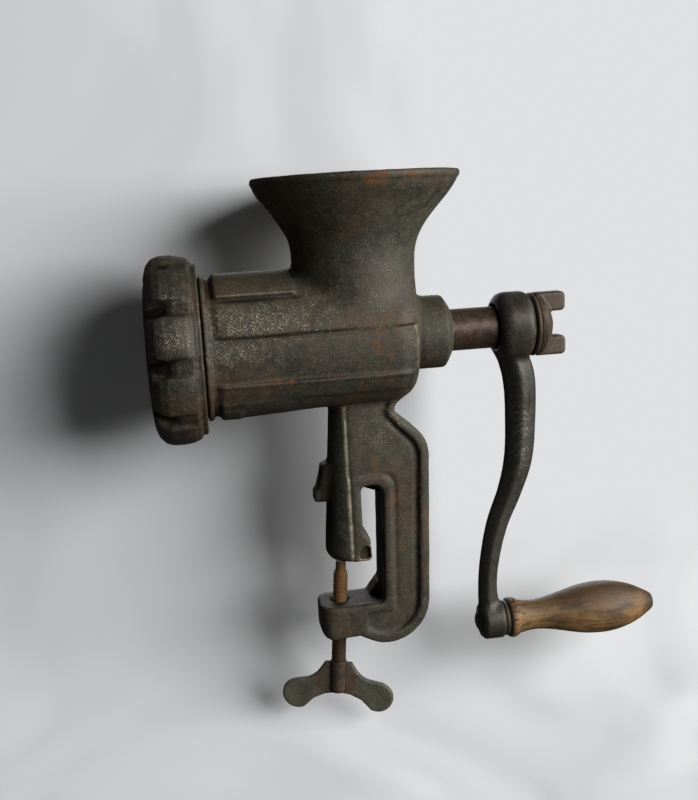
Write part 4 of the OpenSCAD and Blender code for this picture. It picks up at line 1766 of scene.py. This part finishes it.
@dataclass
class OutletEnd:
    """Ring nut and hole plate at the barrel's front."""

    grid: float = 0.7
    front_x: float = -91.8
    mouth_r: float = 27.0
    thread_r: float = 36.5
    thread_x: float = -84.5
    lobes: int = 10
    lobe_turn: float = 15.0
    lobe_half: float = 10.9
    bite_at_r: float = 47.0
    bite_r: float = 6.6
    plate_x: float = -81.35
    plate_r: float = 31.0
    plate_t: float = 5.9
    rings: tuple[tuple[int, float], ...] = ((6, 9.0), (12, 16.0), (18, 23.0))

    def build(self) -> None:
        """Builds the ring nut and the plate."""
        lattice = Lattice((-93.4, -51, AXIS_Z - 51), (-63, 51, AXIS_Z + 51), self.grid)
        specks_and_sheen = (Patch((-78, -46, 128), (9, 8, 6), specks_and_sheen=0.7), Patch((-78, -42, 148), (7, 8, 4), specks_and_sheen=0.6))
        ring = sculpt("ring_nut_lobed", lattice, self._ring(lattice), grain=0.25, patches=specks_and_sheen)
        seat(ring, Body.RING, RING_IRON, "ring_nut")
        sizes = {"Plate Radius": self.plate_r, "Thickness": self.plate_t}
        plate = PiercedPlate(self.rings, hole_sides=20).run("hole_plate_drilled", WORN_STEEL, sizes)
        smooth_by_angle(plate)
        shift(plate, Matrix.Translation((self.plate_x, 0, AXIS_Z)))
        seat(plate, Body.PLATE, WORN_STEEL, "hole_plate")

    def _ring(self, lattice: Lattice) -> np.ndarray:
        """Distance field of the ring nut.

        Args:
            lattice: Sample points.

        Returns:
            The field.
        """
        core = [(0, 0), (0, 33), (1.5, 36), (5, 38.5), (9, 42), (11.5, 45), (14, 46.1), (22.5, 46.2)]
        core += [(24.0, 43.6), (24.6, 43.8), (26.6, 43.8), (27, 43.2), (27, 0)]
        lobe = [(0.6, 0), (0.6, 38.5), (2.2, 43.6), (5, 46.8), (9, 48.1), (15, 48.2)]
        lobe += [(20, 47.4), (24, 45.2), (24.2, 0)]
        along, around = lattice.x - self.front_x, lattice.around()
        angle = np.degrees(np.arctan2(lattice.z - AXIS_Z, -lattice.y))
        part = 360 / self.lobes
        offset = (angle - self.lobe_turn + part / 2) % part - part / 2
        arc_length = np.abs(np.radians(offset)) * around
        lobes = keep(lattice.turned(lobe, around, along), arc_length - self.lobe_half, 2.0)
        ring = join(lattice.turned(core, around, along), lobes, 1.0)
        valley = math.radians(part / 2) * around - arc_length
        bite = np.hypot(valley, around - self.bite_at_r) - self.bite_r
        bite = bite + 0.3 * np.maximum(along, 0) + 2.0 * np.maximum(along - 9, 0)
        ring = cut(cut(ring, bite, 1.2), around - self.mouth_r, 1.5)
        thread = np.maximum(around - self.thread_r, self.thread_x - lattice.x)
        return cut(ring, thread, 0.6)


@dataclass
class FeedRotor:
    """Feed screw with its shaft, and the stud, knife and thrust washer that turn with it."""

    front_x: float = -70.9
    shoulder_x: float = 36.8
    pitch: float = 30.0
    turns: float = 3.3
    core_r: float = 9.0
    flight_r: float = 27.8
    collar_r: float = 25.8
    shaft_r: float = 11.0
    hub_x: float = 88.7
    square_end_x: float = 107.1
    square_half: float = 7.4

    def build(self) -> None:
        """Builds the feed screw and dresses what turns with it."""
        core = [
            (self.front_x, 0),
            (self.front_x, self.core_r),
            (self.front_x + 1, self.core_r + 1),
            (self.shoulder_x - 4, 15),
            (self.shoulder_x - 4, self.collar_r - 0.8),
            (self.shoulder_x - 3.2, self.collar_r),
            (self.shoulder_x, self.collar_r),
            (self.shoulder_x, self.shaft_r),
            (self.hub_x - 0.6, self.shaft_r),
            (self.hub_x - 0.1, self.shaft_r - 0.5),
            (self.hub_x - 0.1, self.square_half),
            (self.square_end_x, self.square_half),
            (self.square_end_x, 0),
        ]
        shaft = lathe("feed_screw_core", core, (0, 0, AXIS_Z), 64)
        seat(shaft, Body.ROTOR, SHAFT_STEEL, "feed_screw")
        flight = HelixRidge(sides=48, turns=3).run(
            "feed_screw_flight",
            CASTING_IRON,
            {
                "Start": self.front_x + 3.2,
                "Pitch": self.pitch,
                "Turns": self.turns,
                "Root Radius": self.core_r,
                "Depth": self.flight_r - self.core_r,
                "Root Width": 6.0,
                "Crest Width": 3.6,
                "Run Out": 0.12,
                "Wear": 0.0,
            },
        )
        smooth_by_angle(flight)
        shift(flight, Matrix.Translation((0, 0, AXIS_Z)))
        seat(flight, Body.ROTOR, CASTING_IRON)
        for node in ("knife_stud", "cross_knife", "thrust_washer"):
            dress(node, WORN_STEEL)


@dataclass
class Crank:
    """Forged crank arm with its winged screw, washer, pin and wooden grip."""

    grid: float = 0.8
    hub_front_x: float = 88.7
    hub_w: float = 19.4
    hub_r: float = 18.2
    crank_len: float = 165.0
    end_boss_r: float = 10.6
    end_boss_w: float = 13.6
    facets: tuple[tuple[float, float], ...] = ((-0.75, 0.66), (0.55, 0.84))
    facet_r: float = 0.87
    socket_half: float = 7.7
    washer_bore_r: float = 5.3
    washer_t: float = 2.4
    head_x: float = 110.7
    head_r: float = 15.6
    prong_h: float = 10.4
    prong_w: float = 9.0
    prong_end: float = 17.0
    pin_bore_r: float = 4.05
    grip_x: float = 91.9
    grip_len: float = 86.0
    grip_r: float = 14.6
    stations: tuple[tuple[float, float, float], ...] = (
        (0.0, 0.03, 8.2),
        (0.3, 0.09, 8.4),
        (3.5, 0.165, 8.9),
        (4.2, 0.26, 8.6),
        (2.6, 0.43, 8.0),
        (-3.0, 0.55, 6.9),
        (-10.5, 0.66, 6.2),
        (-15.6, 0.79, 5.6),
        (-17.0, 0.90, 5.6),
        (-15.4, 0.99, 6.6),
    )

    @property
    def middle_x(self) -> float:
        """Middle of the hub."""
        return self.hub_front_x + self.hub_w / 2

    @property
    def pin_z(self) -> float:
        """Height of the grip's axis."""
        return AXIS_Z - self.crank_len

    def build(self) -> None:
        """Builds the arm, screw, washer and grip."""
        lattice = Lattice((73, -20.5, -60), (114, 20.5, 139), self.grid)
        chips_rust_and_shade = (
            Patch((101, -8, 58), (5, 5, 24), specks_and_sheen=0.8),
            Patch((100, -18, 116), (6, 6, 8), specks_and_sheen=0.4),
            Patch((103, -12, 114), (8, 12, 18), rust=1.1),
            # Shade painted on the hub's front face around the shaft.
            Patch((88, 0, 116), (4, 22, 22), painted_shade=0.5),
        )
        arm = sculpt("crank_arm_forged", lattice, self._arm(lattice), grain=0.12, patches=chips_rust_and_shade)
        seat(arm, Body.ROTOR, DARK_STEEL, "crank_arm")
        start = self.hub_front_x + self.hub_w + 0.1
        r, t, bore = self.head_r + 1.2, self.washer_t, self.washer_bore_r
        washer = [(0, bore), (0, r - 0.8), (0.8, r), (t - 0.8, r), (t, r - 0.8), (t, bore)]
        ring = lathe("crank_washer_turned", washer, (start, 0, AXIS_Z), 72)
        seat(ring, Body.CRANK_WASHER, BROWN_STEEL, "crank_washer")
        head_space = Lattice((84, -18.5, AXIS_Z - 18.5), (129.5, 18.5, AXIS_Z + 18.5), 0.5)
        head = sculpt("crank_screw_winged", head_space, self._head(head_space), grain=0.1)
        seat(head, Body.CRANK_SCREW, BROWN_STEEL, "crank_screw")
        grip = lathe("grip_turned", self._grip(), (self.grip_x, 0, self.pin_z), 96)
        seat(grip, Body.GRIP, GRIP_WOOD, "handle_grip")
        dress("handle_pin", DARK_STEEL)
        dress("handle_washer", BROWN_STEEL)
        dress("grip_end_washer", WORN_STEEL)

    def _centre_line(self, count: int) -> np.ndarray:
        """Rows of x, z and radius along the arm, on a smooth curve through its stations.

        Args:
            count: Number of rows.

        Returns:
            The rows, from the hub down.
        """
        top, length = AXIS_Z, self.crank_len
        rows = np.array([(self.middle_x + x, top - share * length, r) for x, share, r in self.stations])
        padded = np.vstack([rows[:1], rows, rows[-1:]])
        line = []
        for t in np.linspace(0, len(rows) - 1.0001, count):
            i = int(t)
            f = t - i
            p0, p1, p2, p3 = padded[i : i + 4]
            square = 2 * p0 - 5 * p1 + 4 * p2 - p3
            cubic = 3 * p1 - p0 - 3 * p2 + p3
            line.append(0.5 * (2 * p1 + (p2 - p0) * f + square * f * f + cubic * f**3))
        return np.array(line)

    def _arm(self, lattice: Lattice) -> np.ndarray:
        """Distance field of the arm with its hub and end boss.

        Args:
            lattice: Sample points.

        Returns:
            The field.
        """
        line = self._centre_line(70)
        x, z = lattice.x[:, 0, :], lattice.z[0]
        best = np.full(np.broadcast_shapes(x.shape, z.shape), 1e9)
        across = np.zeros_like(best)
        radius = np.zeros_like(best)
        for a, b in zip(line, line[1:]):
            ex, ez = b[0] - a[0], b[1] - a[1]
            length = math.hypot(ex, ez)
            t = np.clip(((x - a[0]) * ex + (z - a[1]) * ez) / length**2, 0, 1)
            dx, dz = x - a[0] - ex * t, z - a[1] - ez * t
            far = np.hypot(dx, dz)
            closer = far < best
            side = (dx * -ez + dz * ex) / length
            best = np.where(closer, far, best)
            across = np.where(closer, side, across)
            radius = np.where(closer, a[2] + (b[2] - a[2]) * t, radius)
        out = best[:, None, :]
        u = across[:, None, :]
        r = radius[:, None, :]
        v = np.abs(lattice.y)
        arm = np.sqrt(out**2 + v**2) - r
        for over_u, over_v in self.facets:
            arm = keep(arm, over_u * u + over_v * v - self.facet_r * r, 1.2)
        along, around = lattice.x - self.hub_front_x, lattice.around()
        hub = [(0, 0)] + arc(6.4, self.hub_r - 6.4, 6.4, 180, 90, 8)
        hub += arc(self.hub_w - 5, self.hub_r - 5, 5, 90, 0, 6) + [(self.hub_w, 0)]
        arm = join(arm, lattice.turned(hub, around, along), 2.5)
        end = lattice.x - (self.middle_x - 15 - self.end_boss_w / 2)
        w, e = self.end_boss_w, self.end_boss_r
        boss = [(0, 0), (0, e - 2), (2, e), (w - 1.8, e), (w, e - 1.8), (w, 0)]
        arm = join(arm, lattice.turned(boss, lattice.around(self.pin_z), end), 2.5)
        recess = [(-5, 0), (-5, 12.0), (3.2, 11.8), (3.4, 0)]
        arm = cut(arm, lattice.turned(recess, around, along), 1.4)
        socket = np.maximum(np.abs(lattice.y), np.abs(lattice.z - AXIS_Z)) - self.socket_half
        return cut(arm, socket)

    def _head(self, lattice: Lattice) -> np.ndarray:
        """Distance field of the crank screw: its thread core, disc and two prongs.

        Args:
            lattice: Sample points.

        Returns:
            The field.
        """
        r = self.head_r
        disc = [(-26, 0), (-26, 4.4), (-25.4, 5), (0, 5), (0, r - 0.6), (0.7, r), (3.4, r), (4.2, r - 1)]
        disc += [(4.6, r - 1.8), (6.2, r - 3.6), (8.2, r - 7), (9.8, r - 11), (10.5, 2), (10.6, 0)]
        head = lattice.turned(disc, lattice.around(), lattice.x - self.head_x)
        front, back = self.head_x + 0.6, self.head_x + self.prong_end
        top = r + 1.3
        for low in (AXIS_Z - top, AXIS_Z + top - self.prong_h):
            high = low + self.prong_h
            prong = rounded([(front, low, 0.5), (back, low, 2.6), (back, high, 2.6), (front, high, 0.5)])
            head = join(head, lattice.slab(prong, self.prong_w, 1.6), 1.6)
        return head

    def _grip(self) -> Points:
        """Profile of the wooden grip: its outside, the recess at its end and the bore.

        Returns:
            Rows of distance along the axis and radius.
        """
        shape = [  # shares of its length and of its largest radius
            (0.00, 0.66),
            (0.008, 0.73),
            (0.02, 0.76),
            (0.042, 0.765),
            (0.055, 0.73),
            (0.08, 0.64),
            (0.13, 0.575),
            (0.19, 0.55),
            (0.28, 0.62),
            (0.38, 0.76),
            (0.50, 0.93),
            (0.62, 1.00),
            (0.72, 0.97),
            (0.82, 0.84),
            (0.90, 0.66),
            (0.95, 0.49),
            (0.985, 0.365),
            (1.00, 0.30),
        ]
        shares = np.array(shape)
        stations = np.concatenate([shares[:6, 0], np.linspace(0.08, 0.96, 34), shares[-2:, 0]])
        radii = np.interp(stations, shares[:, 0], shares[:, 1])
        smooth = radii.copy()
        for _ in range(3):
            smooth[7:-3] = (smooth[6:-4] + 2 * smooth[7:-3] + smooth[8:-2]) / 4
        outside = [(t * self.grip_len, r * self.grip_r) for t, r in zip(stations, smooth)]
        end, bore = self.grip_len, self.pin_bore_r
        inside = [(end, 3.9), (end - 3, 3.9), (end - 3, 2.3), (end - 12, 2.3), (end - 12, bore)]
        return [(0, bore)] + outside + inside


@dataclass
class TableClamp:
    """Clamp screw with its thread and the wing that turns it."""

    screw_r: float = 4.0
    neck_r: float = 2.8
    neck_len: float = 5.4
    screw_len: float = 75.0
    rest_gap: float = 2.5
    pitch: float = 1.6
    wing_turn: float = -14.0
    wing_h: float = 27.4
    wing_t: float = 3.6
    shank_r: float = 4.6
    shank_bore_r: float = 4.08
    shank_round: float = 3.0

    @staticmethod
    def _lean() -> Matrix:
        """Turn from upright to the lean of the leg."""
        return Matrix.Rotation(CLAMP_LEAN, 4, "Y")

    def _hang(self, piece: bpy.types.Object, top: float) -> None:
        """Stands a piece that was made along X downwards along the leaning axis from a height."""
        upright = Matrix.Rotation(math.pi / 2, 4, "Y")
        shift(piece, self._lean() @ Matrix.Translation((0, 0, top)) @ upright)

    def build(self) -> None:
        """Builds the screw and the wing in place, leaned with the leg."""
        tip = -self.rest_gap
        start = self.neck_len
        core_r = self.screw_r - 0.5
        core = [(0, 0), (0, self.neck_r - 0.5), (0.5, self.neck_r), (start, self.neck_r), (start, core_r)]
        core += [(self.screw_len, core_r), (self.screw_len, 0)]
        screw = lathe("clamp_screw_core", core, (0, 0, 0), 40)
        self._hang(screw, tip)
        seat(screw, Body.CLAMP_SCREW, RUSTY_STEEL, "clamp_screw")
        turns = int((self.screw_len - start) / self.pitch) - 1
        thread = HelixRidge(sides=20, turns=turns).run(
            "clamp_screw_thread",
            RUSTY_STEEL,
            {
                "Start": start + 0.8,
                "Pitch": self.pitch,
                "Turns": float(turns),
                "Root Radius": core_r - 0.3,
                "Depth": self.screw_r - core_r + 0.3,
                "Root Width": 1.4,
                "Crest Width": 0.6,
                "Run Out": 0.6,
                "Wear": 0.12,
            },
        )
        self._hang(thread, tip)
        seat(thread, Body.CLAMP_SCREW, RUSTY_STEEL)
        socket_z = tip - self.screw_len - 0.3
        low = socket_z - 0.37 * self.wing_h
        lattice = Lattice((-32.5, -7.5, low - 2), (32.5, 7.5, low + self.wing_h + 2), 0.5)
        turn = self._lean() @ Matrix.Rotation(math.radians(self.wing_turn), 4, "Z")
        patches = [Patch((side * 7, 0, low + 16), (6, 6, 12), rust=1.6) for side in (-1, 1)]
        plate = self._wing(lattice, low, socket_z)
        wing = sculpt("clamp_wing_cast", lattice, plate, turn, grain=0.12, patches=patches)
        seat(wing, Body.CLAMP_WING, OLIVE_IRON, "clamp_wing")
        top = low + self.wing_h + 0.6
        depth, r, bore = top - socket_z, self.shank_r, self.shank_bore_r
        sleeve = [(depth, 0), (depth, bore), (0, bore), (0, r - 0.3), (0.4, r), (depth - 2.2, r)]
        sleeve += arc(depth - 2.2, r - self.shank_round, self.shank_round, 80, 10, 6)
        sleeve += [(depth + 1.0, 0)]
        shank = lathe("clamp_wing_shank", sleeve, (0, 0, 0), 40)
        self._hang(shank, top)
        seat(shank, Body.CLAMP_WING, BROWN_STEEL)

    def _wing(self, lattice: Lattice, low: float, socket_z: float) -> np.ndarray:
        """Distance field of the wing plate, open for the shank.

        Args:
            lattice: Sample points, upright.
            low: Height of the plate's lowest point.
            socket_z: Height of the shank's floor.

        Returns:
            The field.
        """
        tall = self.wing_h
        half = [(0, tall), (7.4, tall)]
        half += rounded([(7.4, tall, 0), (12.8, 19, 12), (20, 16.6, 0)], 5)[1:-1]
        half += arc(22.2, 7.6, 8.8, 75, -115, 12) + [(13, 5.2), (7, 8.1), (0, 9)]
        outline = [(u, low + v) for u, v in half]
        outline += [(-u, v) for u, v in reversed(outline[1:-1])]
        plate = lattice.slab(outline, self.wing_t, 1.5)
        dish = np.hypot(np.abs(lattice.x) - 21.8, lattice.z - low - 7.8)
        plate = plate + 0.45 * bulge(dish, 5.2)
        return cut(plate, np.maximum(np.hypot(lattice.x, lattice.y) - 4.3, socket_z - lattice.z))


# ---- stage, lamps and camera ----


@dataclass(frozen=True)
class Lamp:
    """Soft rectangular lamp; sizes in metres.

    Args:
        name: Its name.
        at: Its place.
        size: Its width and height.
        power: Its power, in watts.
    """

    name: str
    at: tuple[float, float, float]
    size: tuple[float, float]
    power: float

    def build(self, target: Vector) -> None:
        """Hangs the lamp so that it faces a point.

        Args:
            target: The point.
        """
        lamp = bpy.data.lights.new(self.name, "AREA")
        lamp.shape = "RECTANGLE"
        lamp.energy = self.power
        lamp.size, lamp.size_y = self.size
        light = bpy.data.objects.new(self.name, lamp)
        light.location = self.at
        light.rotation_mode = "QUATERNION"
        light.rotation_quaternion = (target - light.location).to_track_quat("-Z", "Y")
        bpy.context.scene.collection.objects.link(light)


@dataclass
class Studio:
    """Camera, lamps, floor and backdrop; sizes in metres, angles in degrees."""

    focal: float = 45.0
    sensor: float = 36.0
    camera_at: tuple[float, float, float] = (-0.0698, -0.5101, 0.1868)
    yaw: float = 8.8
    pitch: float = 11.1
    roll: float = 3.16
    floor_z: float = -0.1015
    wall_y: float = 0.057
    sweep_r: float = 0.06
    extent: float = 1.1
    lamps: tuple[Lamp, ...] = (
        Lamp("window_light", (0.9, -0.74, 0.45), (1.2, 0.72), 26.5),
        Lamp("back_fill", (0.35, 1.15, 0.3), (1.0, 0.6), 12.0),
    )
    lit_at: tuple[float, float, float] = (0.03, 0.0, 0.06)
    room_tone: Colour = colour(232, 233, 235)
    room_light: float = 0.06
    room_seen: float = 0.86

    def build(self) -> None:
        """Builds the stage, the lamps and the camera."""
        self._stage()
        self._lights()
        self._camera()

    def _stage(self) -> None:
        """Floor and backdrop: one pale cloth that curves up behind the object."""
        e, y, z, r = self.extent, self.wall_y, self.floor_z, self.sweep_r
        rows = [(-0.75 * e, z)] + arc(y - r, z + r, r, -90, 0, 12) + [(y, z + e)]
        points = [(side * e, py, pz) for py, pz in rows for side in (-1, 1)]
        faces = [(2 * i, 2 * i + 1, 2 * i + 3, 2 * i + 2) for i in range(len(rows) - 1)]
        sheet = make_mesh("stage_cloth", np.array(points) / METRE, faces)
        sheet.data.materials.append(Palette.of(CLOTH))

    def _lights(self) -> None:
        """The lamps, and a dim room that the camera sees as pale."""
        world = bpy.data.worlds.new("dim_room")
        world.use_nodes = True
        sky = Graph(world.node_tree)
        seen = sky.add("ShaderNodeLightPath").outputs["Is Camera Ray"]
        strength = sky.line(seen, self.room_seen, self.room_light)
        air = sky.add("ShaderNodeBackground", {"Color": self.room_tone, "Strength": strength})
        sky.add("ShaderNodeOutputWorld", {"Surface": air.outputs[0]})
        bpy.context.scene.world = world
        for lamp in self.lamps:
            lamp.build(Vector(self.lit_at))

    def _camera(self) -> None:
        """Camera at the measured place."""
        turn, down, roll = (math.radians(a) for a in (self.yaw, self.pitch, self.roll))
        view = Vector((math.sin(turn) * math.cos(down), math.cos(turn) * math.cos(down), -math.sin(down)))
        right = Vector((math.cos(turn), -math.sin(turn), 0))
        up = Vector((math.sin(turn) * math.sin(down), math.cos(turn) * math.sin(down), math.cos(down)))
        across = right * math.cos(roll) - up * math.sin(roll)
        upward = up * math.cos(roll) + right * math.sin(roll)
        lens = bpy.data.cameras.new("view_camera")
        lens.lens, lens.sensor_width = self.focal, self.sensor
        camera = bpy.data.objects.new("view_camera", lens)
        columns = Matrix((across, upward, -view)).transposed().to_4x4()
        camera.matrix_world = Matrix.Translation(self.camera_at) @ columns
        bpy.context.scene.collection.objects.link(camera)
        bpy.context.scene.camera = camera
        bpy.context.scene.view_settings.view_transform = "Standard"


def main() -> None:
    """Builds every sub-assembly in order and the studio around them."""
    logging.basicConfig(level=logging.INFO, format="%(name)s: %(message)s")
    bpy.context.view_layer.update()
    for assembly in (Casting(), OutletEnd(), FeedRotor(), Crank(), TableClamp(), Studio()):
        LOG.info("building %s", type(assembly).__name__)
        assembly.build()


if __name__ == "__main__":
    main()
